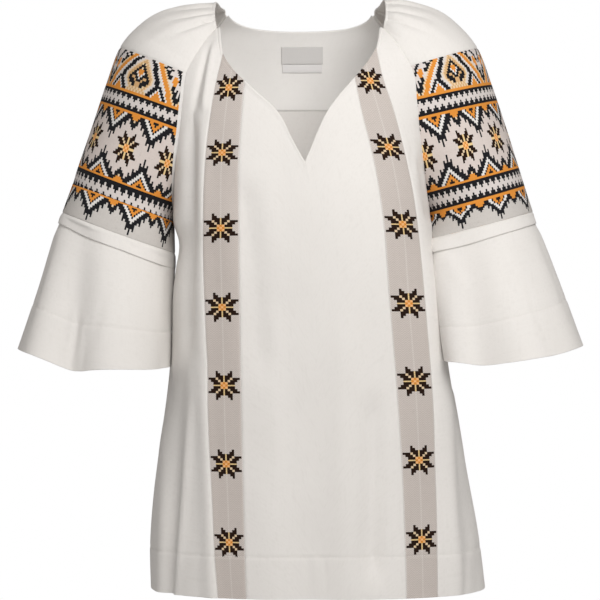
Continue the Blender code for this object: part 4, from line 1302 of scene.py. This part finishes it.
def teeth(chart, c, row, top):
    """Narrow border: an orange and a black line, two rows of teeth that mesh, the lines again."""
    at = row - top
    step, other = folded(c, 4), folded(c + 2, 4)
    inside = (at >= 0) & (at <= 8)
    chart.lay("pale", inside)
    chart.lay("orange", inside & ((at == 0) | (at == 8)))
    chart.lay("black", inside & ((at == 1) | (at == 7)))
    chart.lay("black", (at == 2) & (step <= 1) | (at == 3) & (step == 0))
    chart.lay("black", (at == 6) & (other <= 1) | (at == 5) & (other == 0))


def zigzag(chart, c, r, inside):
    """Row of triangles and spiked zigzags that grows away from a line, r rows from it."""
    total, e = c + r, np.abs(c - REPEAT // 2)
    lay = chart.lay
    lay("white", inside & (total >= 6) & (total <= 7))
    lay("black", inside & (total == 5))
    lay("orange", inside & (total < 5))
    lay("black", inside & ((r == 1) & (c <= 1) | (r == 2) & (c == 0)))
    lay("black", inside & (total >= 8) & (total <= 10) & (c <= 8))
    spikes = (c == 0) | (c == 2) | (c == 5) | (c == 7)
    lay("black", inside & spikes & (total >= 8) & (total <= 12))
    lay("black", inside & ((c == 8) & (r <= 3) | (c == 9) & (r <= 2)))
    near = (e <= 3) & inside
    lay("black", near & (e + r >= 4) & (e + r <= 6) & ~((e == 3) & (r > 2)))
    lay("orange", near & (e + r <= 3))
    lay("cream", inside & (e == 0) & (r == 3))


# half of the topmost zone, from a diamond's axis to the axis of the figure beside it
DIAMOND_CHART = [
    "...BBwwoooc.BBB...BBB....",
    "tc..BBBwoooBB..BB..BB....",
    "ttc..BBBwooocBBB....BB...",
    "Bctc..BBBwooocBB.....BB..",
    "BBttc.BBB.wooocBBB.oo.B..",
    "cBBttc.BBB.wooocBB.oooBB.",
    "ooBBttc.BBB.woooc..ooo.B.",
    "oowBBttc.BBB.woooc..oo...",
    "owBBBBttc.BBB.woooc.BB...",
    "wBBttBBtc.BBB..wooocBB.B.",
    "BBtBBBBtc..BBBB.wooocBBB.",
    "ttBBBBtc..BBBwBB.wooocBB.",
    "ttBBctc..BBBwowBBwooocBBB",
    "tctctc..BBBwooowBBwooocBB",
    "ctctctcBBBwooooowBBwooocB",
]


def large_diamonds(chart, d, row, inside):
    """Topmost zone: large diamonds between broad slanting bars, and a small figure between them."""
    threads = {"B": "black", "o": "orange", "t": "tan", "c": "cream", "w": "white", ".": "pale"}
    numbers = np.array([[NAMES.index(threads[letter]) for letter in line]
                        for line in DIAMOND_CHART])
    chart.put(numbers[np.clip(row, 0, B_TOP - 1), np.minimum(d, WIDE_REPEAT // 2)], inside)


def sleeve_chart(column, row, axis):
    """Thread numbers of the pattern: columns count from a star's axis, rows from the top."""
    chart = Chart(np.broadcast(column, row).shape, "ground")
    c = folded(column + REPEAT // 2, REPEAT)
    lower = row >= G_TOP
    chart.lay("grey", lower)
    zigzag(chart, c, row - (C_TOP - 1), (row >= C_TOP) & (row <= STAR_ROW - 1))
    zigzag(chart, c, F_TOP - row, (row > STAR_ROW) & (row < F_TOP))
    zigzag(chart, c, row - (G_TOP - 1), lower)
    star = star_at(centred(column, REPEAT), row - STAR_ROW)
    chart.put(star, star >= 0)
    teeth(chart, column, row, B_TOP)
    teeth(chart, column, row, F_TOP)
    large_diamonds(chart, folded(column - axis, WIDE_REPEAT), row, row < B_TOP)
    return chart.grid


# %% [markdown]
# ## Sleeve panels
# The patterned cloth is straight: its columns run side by side down the arm and are simply cut
# off by the raglan seam. So the columns are laid out by true length round the arm from the
# outermost line, and those beyond the seam are gathered into its edge and vanish.

# %% Counted sleeve mesh
CELL_WIDE, CELL_HIGH = 2.0, 2.7              # a repeat of 24 stitches is 48 mm
# lengths from the outermost line forwards to three stars' axes, one repeat apart
STAR_AXES = {"left": (40.7, 93.3, 141.7), "right": (55.2, 98.4, 145.0)}
PLAIN_STRIP = {"left": 4.5, "right": 1.2}    # plain cloth between the pattern and the front seam
CHART_AT_ROW = {"left": ([0, 16, 34, 52, 59, 73], [4, 5, 6, 7, 8, 9]),
                "right": ([1, 16, 34, 52, 59, 73], [4, 5, 6, 7, 7.58, 9])}
SEAM_ALLOWANCE = 1.007   # the sleeve's cloth goes on this far past its seams
ROUND_SAMPLES, ROWS_A_STITCH = 361, 2
REPEATS_BACK = 5         # repeats behind the first axis
STRIP_STEPS = np.array([[0.67, 0.33, 0.0]])
PANEL_BEHIND = 0.3       # how far the wrong side's colour is the pale thread's


def round_lengths(side, rows):
    """True length round the sleeve from the outermost line, forwards above zero, at each row."""
    surface = smooth_sleeve(side)
    part = np.linspace(-1, 1, ROUND_SAMPLES)
    points = surface(part[None, :] + 0 * rows[:, None], rows[:, None] + 0 * part[None, :])
    along = spans(points, 1)
    return part, along[:, ROUND_SAMPLES // 2:ROUND_SAMPLES // 2 + 1] - along


def column_places(side):
    """Edges of the stitch columns, as lengths from the outermost line forwards."""
    axes = np.array(STAR_AXES[side])
    repeat = REPEAT * CELL_WIDE
    behind = axes[0] - repeat * np.arange(REPEATS_BACK, 0, -1)
    known = np.concatenate([behind, axes, [axes[-1] + repeat]])
    count = (np.arange(len(known)) - REPEATS_BACK - 1) * REPEAT
    column = np.arange(count[0], count[-1] + 1)
    return column, np.interp(column - 0.5, count, known)


def sleeve_panel(side):
    """Panel counted out in stitches, each column at its true length round the arm."""
    first = CHART_AT_ROW[side][0][0]
    chart_row = np.arange(first * ROWS_A_STITCH, CHART_ROWS * ROWS_A_STITCH + 1) / ROWS_A_STITCH
    rows = np.interp(chart_row, *CHART_AT_ROW[side])
    part, length = round_lengths(side, rows)
    column, places = column_places(side)
    front, back = length[:, :1], length[:, -1:]
    strip = PLAIN_STRIP[side]
    axis, lean = DIAMOND_AXIS[side]
    leaning = lean * np.clip(1 - chart_row / B_TOP, 0, 1)[:, None]
    at = np.clip(places[None, :] + leaning, back, front - strip)
    at = np.concatenate([at, front - strip * STRIP_STEPS], axis=1)
    parts = np.stack([np.interp(-at[i], -length[i], part) for i in range(len(rows))])
    number = np.concatenate([column[:-1], 0 * STRIP_STEPS[0].astype(int)])[None, :]
    chart_number = np.floor((chart_row[:-1] + chart_row[1:]) / 2).astype(int)[:, None]
    threads = sleeve_chart(number, chart_number, axis)
    threads[:, -STRIP_STEPS.size:] = NAMES.index("white")
    colour = PALETTE[threads]
    relief = seam_dip(front - at) + seam_dip(at - back)
    high = (chart_row * CELL_HIGH)[:, None]
    relief = relief + seam_dip(high - high[0]) + seam_dip(CHART_ROWS * CELL_HIGH - high)
    cloth("sleeve_panel_" + side, PATTERN_LOOK, SLEEVE_SURFACE[side], parts * SEAM_ALLOWANCE,
          rows[:, None], relief, CLOTH, (at, high + 0 * at),
          (colour, mix(colour, PALETTE[0], PANEL_BEHIND)))


for side in SLEEVES:
    sleeve_panel(side)

# %% [markdown]
# ## Sleeve heads, tucks and flares
# The head is gathered into the neck in small soft pleats. Under the patterned panel a narrow
# tuck hides its lower seam, and the flare falls from there in wide flutes to a deep turned hem.
# All three are patches of the sleeve's surface, closed along the underarm seam below the
# armhole.

# %% Head, tuck and flare
ROUND_LONG, HEAD_LONG, TUCK_LONG, FLARE_LONG = 380.0, 125.0, 16.0, 110.0
HEAD_STEPS, TUCK_STEPS, FLARE_STEPS = (2.4, 2.8), (1.6, 3.2), (3.2, 2.8)     # down and round
TUCK_LOW, TUCK_HIGH, TUCK_RISE = -0.5, 0.8, 6.0        # it comes out of the seam
TUCK_WAVE, TUCK_WAVES = 0.12, 40.0           # its free edge isn't quite even
TUCK_CLOTH, TUCK_DIP, TUCK_DIP_WIDE, TUCK_THIN, TUCK_THIN_WIDE = 1.0, 0.3, 0.9, 0.5, 0.6
TUCKED_IN, TUCKED_OVER = 1.5, 3.0            # the flare starts this far in, under the tuck
FLUSH, FLUSH_OVER = 0.79, 18.0               # part round the arm from where the edge is flush
FLUSH_ROWS, FLUSH_RISE = 0.15, 8.0           # there it comes out this much earlier
SLEEVE_PROUD = 0.20                          # how proud the turned-up cloth of its hem lies


def sleeve_grid(rows, step):
    """Parts round the arm and rows, close together beside the seams."""
    part = (spread(ROUND_LONG, step)[None, :] * 2 - 1) * SEAM_ALLOWANCE
    rows = np.asarray(rows, float)[:, None]
    return part + 0 * rows, rows + 0 * part


def sleeve_head(side):
    """Head: neck edge, gathered pleats, raglan seams, and the seam of the patterned panel."""
    place = SLEEVE_SURFACE[side]
    part, row = sleeve_grid(ROW_PANEL * spread(HEAD_LONG, HEAD_STEPS[0]), HEAD_STEPS[1])
    base = place[0](part, row)
    down = spans(base, 0)
    roll, rolled = neck_roll(down)
    relief = side_dips(base) + seam_dip(down[-1:] - down) + roll
    cloth("sleeve_head_" + side, PLAIN_LOOK, place, part, row, relief, CLOTH + rolled)


def sleeve_tuck(side):
    """Narrow fold under the patterned panel: it leaves the seam and its free edge stands proud."""
    rows = mix(ROW_TUCK, ROW_TUCK_END, spread(TUCK_LONG, TUCK_STEPS[0]))
    part, row = sleeve_grid(rows, TUCK_STEPS[1])
    down = (row - ROW_TUCK) / (ROW_TUCK_END - ROW_TUCK)
    to_edge = (1 - down) * TUCK_LONG
    relief = TUCK_LOW + TUCK_HIGH * smooth(down * TUCK_RISE)
    relief = relief - TUCK_DIP * bell(to_edge, TUCK_DIP_WIDE)
    relief = relief + TUCK_WAVE * np.sin(part * TUCK_WAVES)
    thick = TUCK_CLOTH - TUCK_THIN * bell(to_edge, TUCK_THIN_WIDE)
    cloth("sleeve_tuck_" + side, PLAIN_LOOK, SLEEVE_SURFACE[side], part, row, relief, thick)


def sleeve_hem(side):
    """Row of the stitching of a sleeve's hem, and the length of one row there in millimetres."""
    ends = sleeve_line(side, np.array([ROW_HEM - 1, ROW_HEM]))[0]
    row_long = np.linalg.norm(ends[1] - ends[0])
    return ROW_HEM - HEM_DEEP / row_long, row_long


def sleeve_flare(side):
    """Wide lower sleeve with its hem turned up and stitched."""
    place = SLEEVE_SURFACE[side]
    hem_row, row_long = sleeve_hem(side)
    upper = mix(ROW_TUCK, hem_row - HEM_CLEAR / row_long, spread(FLARE_LONG, FLARE_STEPS[0]))
    part, row = sleeve_grid(np.concatenate([upper, hem_row + HEM_STEPS / row_long]), FLARE_STEPS[1])
    hem, thick = hem_shape((row - hem_row) * row_long, SLEEVE_PROUD)
    relief = hem + side_dips(place[0](part, row))
    flush = smooth((np.abs(part) - FLUSH) * FLUSH_OVER)
    tucked = (1 - flush) * (1 - smooth((row - ROW_TUCK_END) * TUCKED_OVER))
    tucked = tucked + flush * (1 - smooth((row - ROW_TUCK_END + FLUSH_ROWS) * FLUSH_RISE))
    cloth("sleeve_flare_" + side, PLAIN_LOOK, place, part, row, relief - TUCKED_IN * tucked, thick)


for side in SLEEVES:
    sleeve_head(side)
    sleeve_tuck(side)
    sleeve_flare(side)

# %% [markdown]
# ## Stitches of the hems
# A row of machine stitches holds each turned-up hem. Every stitch is a short spindle of thread
# that dips into the cloth at both ends. It has only a few faces, because there are hundreds of
# them.

# %% Rows of stitches
MACHINE_PITCH, STITCH_LONG, THREAD_HALF, STITCH_UP = 2.7, 2.1, 0.24, -0.22
STITCH_SHAPE = np.array([[-1.0, 0.3], [-0.6, 0.85], [0.0, 1.0], [0.6, 0.85], [1.0, 0.3]])
THREAD_SIDES, LINE_POINTS, AHEAD = 4, 900, 0.5


def line_on(place, a, b):
    """Places, directions and normals every stitch's length along a line on a surface."""
    surface, heart = place
    up = normals(surface, a, b, heart)
    points = surface(a, b) + up * STITCH_UP
    along = spans(points, 0)
    count = int(along[-1] / MACHINE_PITCH)
    at = (np.arange(count) + 0.5) * along[-1] / count

    def read(values, where):
        return np.stack([np.interp(where, along, values[:, k]) for k in range(3)], -1)

    start = read(points, at)
    ahead = read(points, at + AHEAD) - start
    return start, ahead / np.linalg.norm(ahead, axis=-1, keepdims=True), read(up, at)


def stitch_row(name, lines):
    """One mesh for a row of stitches: spindles of THREAD_SIDES sides along the lines."""
    place, ahead, up = (np.concatenate(part) for part in zip(*lines))
    side = np.cross(up, ahead)
    turn = np.arange(THREAD_SIDES) * 2 * np.pi / THREAD_SIDES
    long, thick = STITCH_SHAPE[:, :1] * STITCH_LONG / 2, STITCH_SHAPE[:, 1:] * THREAD_HALF
    rise = thick * np.cos(turn) - THREAD_HALF * (1 - STITCH_SHAPE[:, 1:]) * 2
    points = (place[:, None, None] + ahead[:, None, None] * long[None, :, :, None]
              + side[:, None, None] * (thick * np.sin(turn))[None, :, :, None]
              + up[:, None, None] * rise[None, :, :, None])
    rings = len(STITCH_SHAPE)
    number = np.arange(rings * THREAD_SIDES).reshape(rings, THREAD_SIDES)
    ring, after = number[:-1], np.roll(number, -1, axis=1)[:-1]
    quads = np.stack([ring, after, np.roll(number, -1, axis=1)[1:], number[1:]], -1).reshape(-1, 4)
    ends = np.stack([number[0, ::-1], number[-1]])
    shape = np.concatenate([quads, ends])
    faces = (np.arange(len(place)) * number.size)[:, None, None] + shape
    flat = np.zeros((points.size // 3, 2))
    mesh = mesh_from(name, points.reshape(-1, 3), faces.reshape(-1, 4), flat)
    print(f"{name}: {len(place)} stitches, {len(mesh.polygons)} faces")
    add_piece(name, mesh, (sewing_thread, "white_cloth"))


SEWING_SCALE = 300.0     # of the slow change of tone along the thread
finish = Finish("sewing_thread", Sheen_Weight=0.1, IOR=1.45, Roughness=0.7)
tone = finish.mix(cloud(finish, SEWING_SCALE), (0.88, 0.86, 0.83, 1.0), (0.74, 0.72, 0.69, 1.0))
sewing_thread = finish.paint(Base_Color=tone)

line_z, half = np.full(LINE_POINTS, HEM_TOP), np.linspace(-1, 1, LINE_POINTS)
stitch_row("hem_stitches", [line_on(FRONT_PLACE, half * section(FRONT, line_z)[5], line_z),
                            line_on(BACK_PLACE, half * section(BACK, line_z)[5], line_z)])
for side in SLEEVES:
    line_row = np.full(LINE_POINTS, sleeve_hem(side)[0])
    stitch_row("sleeve_hem_stitches_" + side, [line_on(SLEEVE_SURFACE[side], half, line_row)])
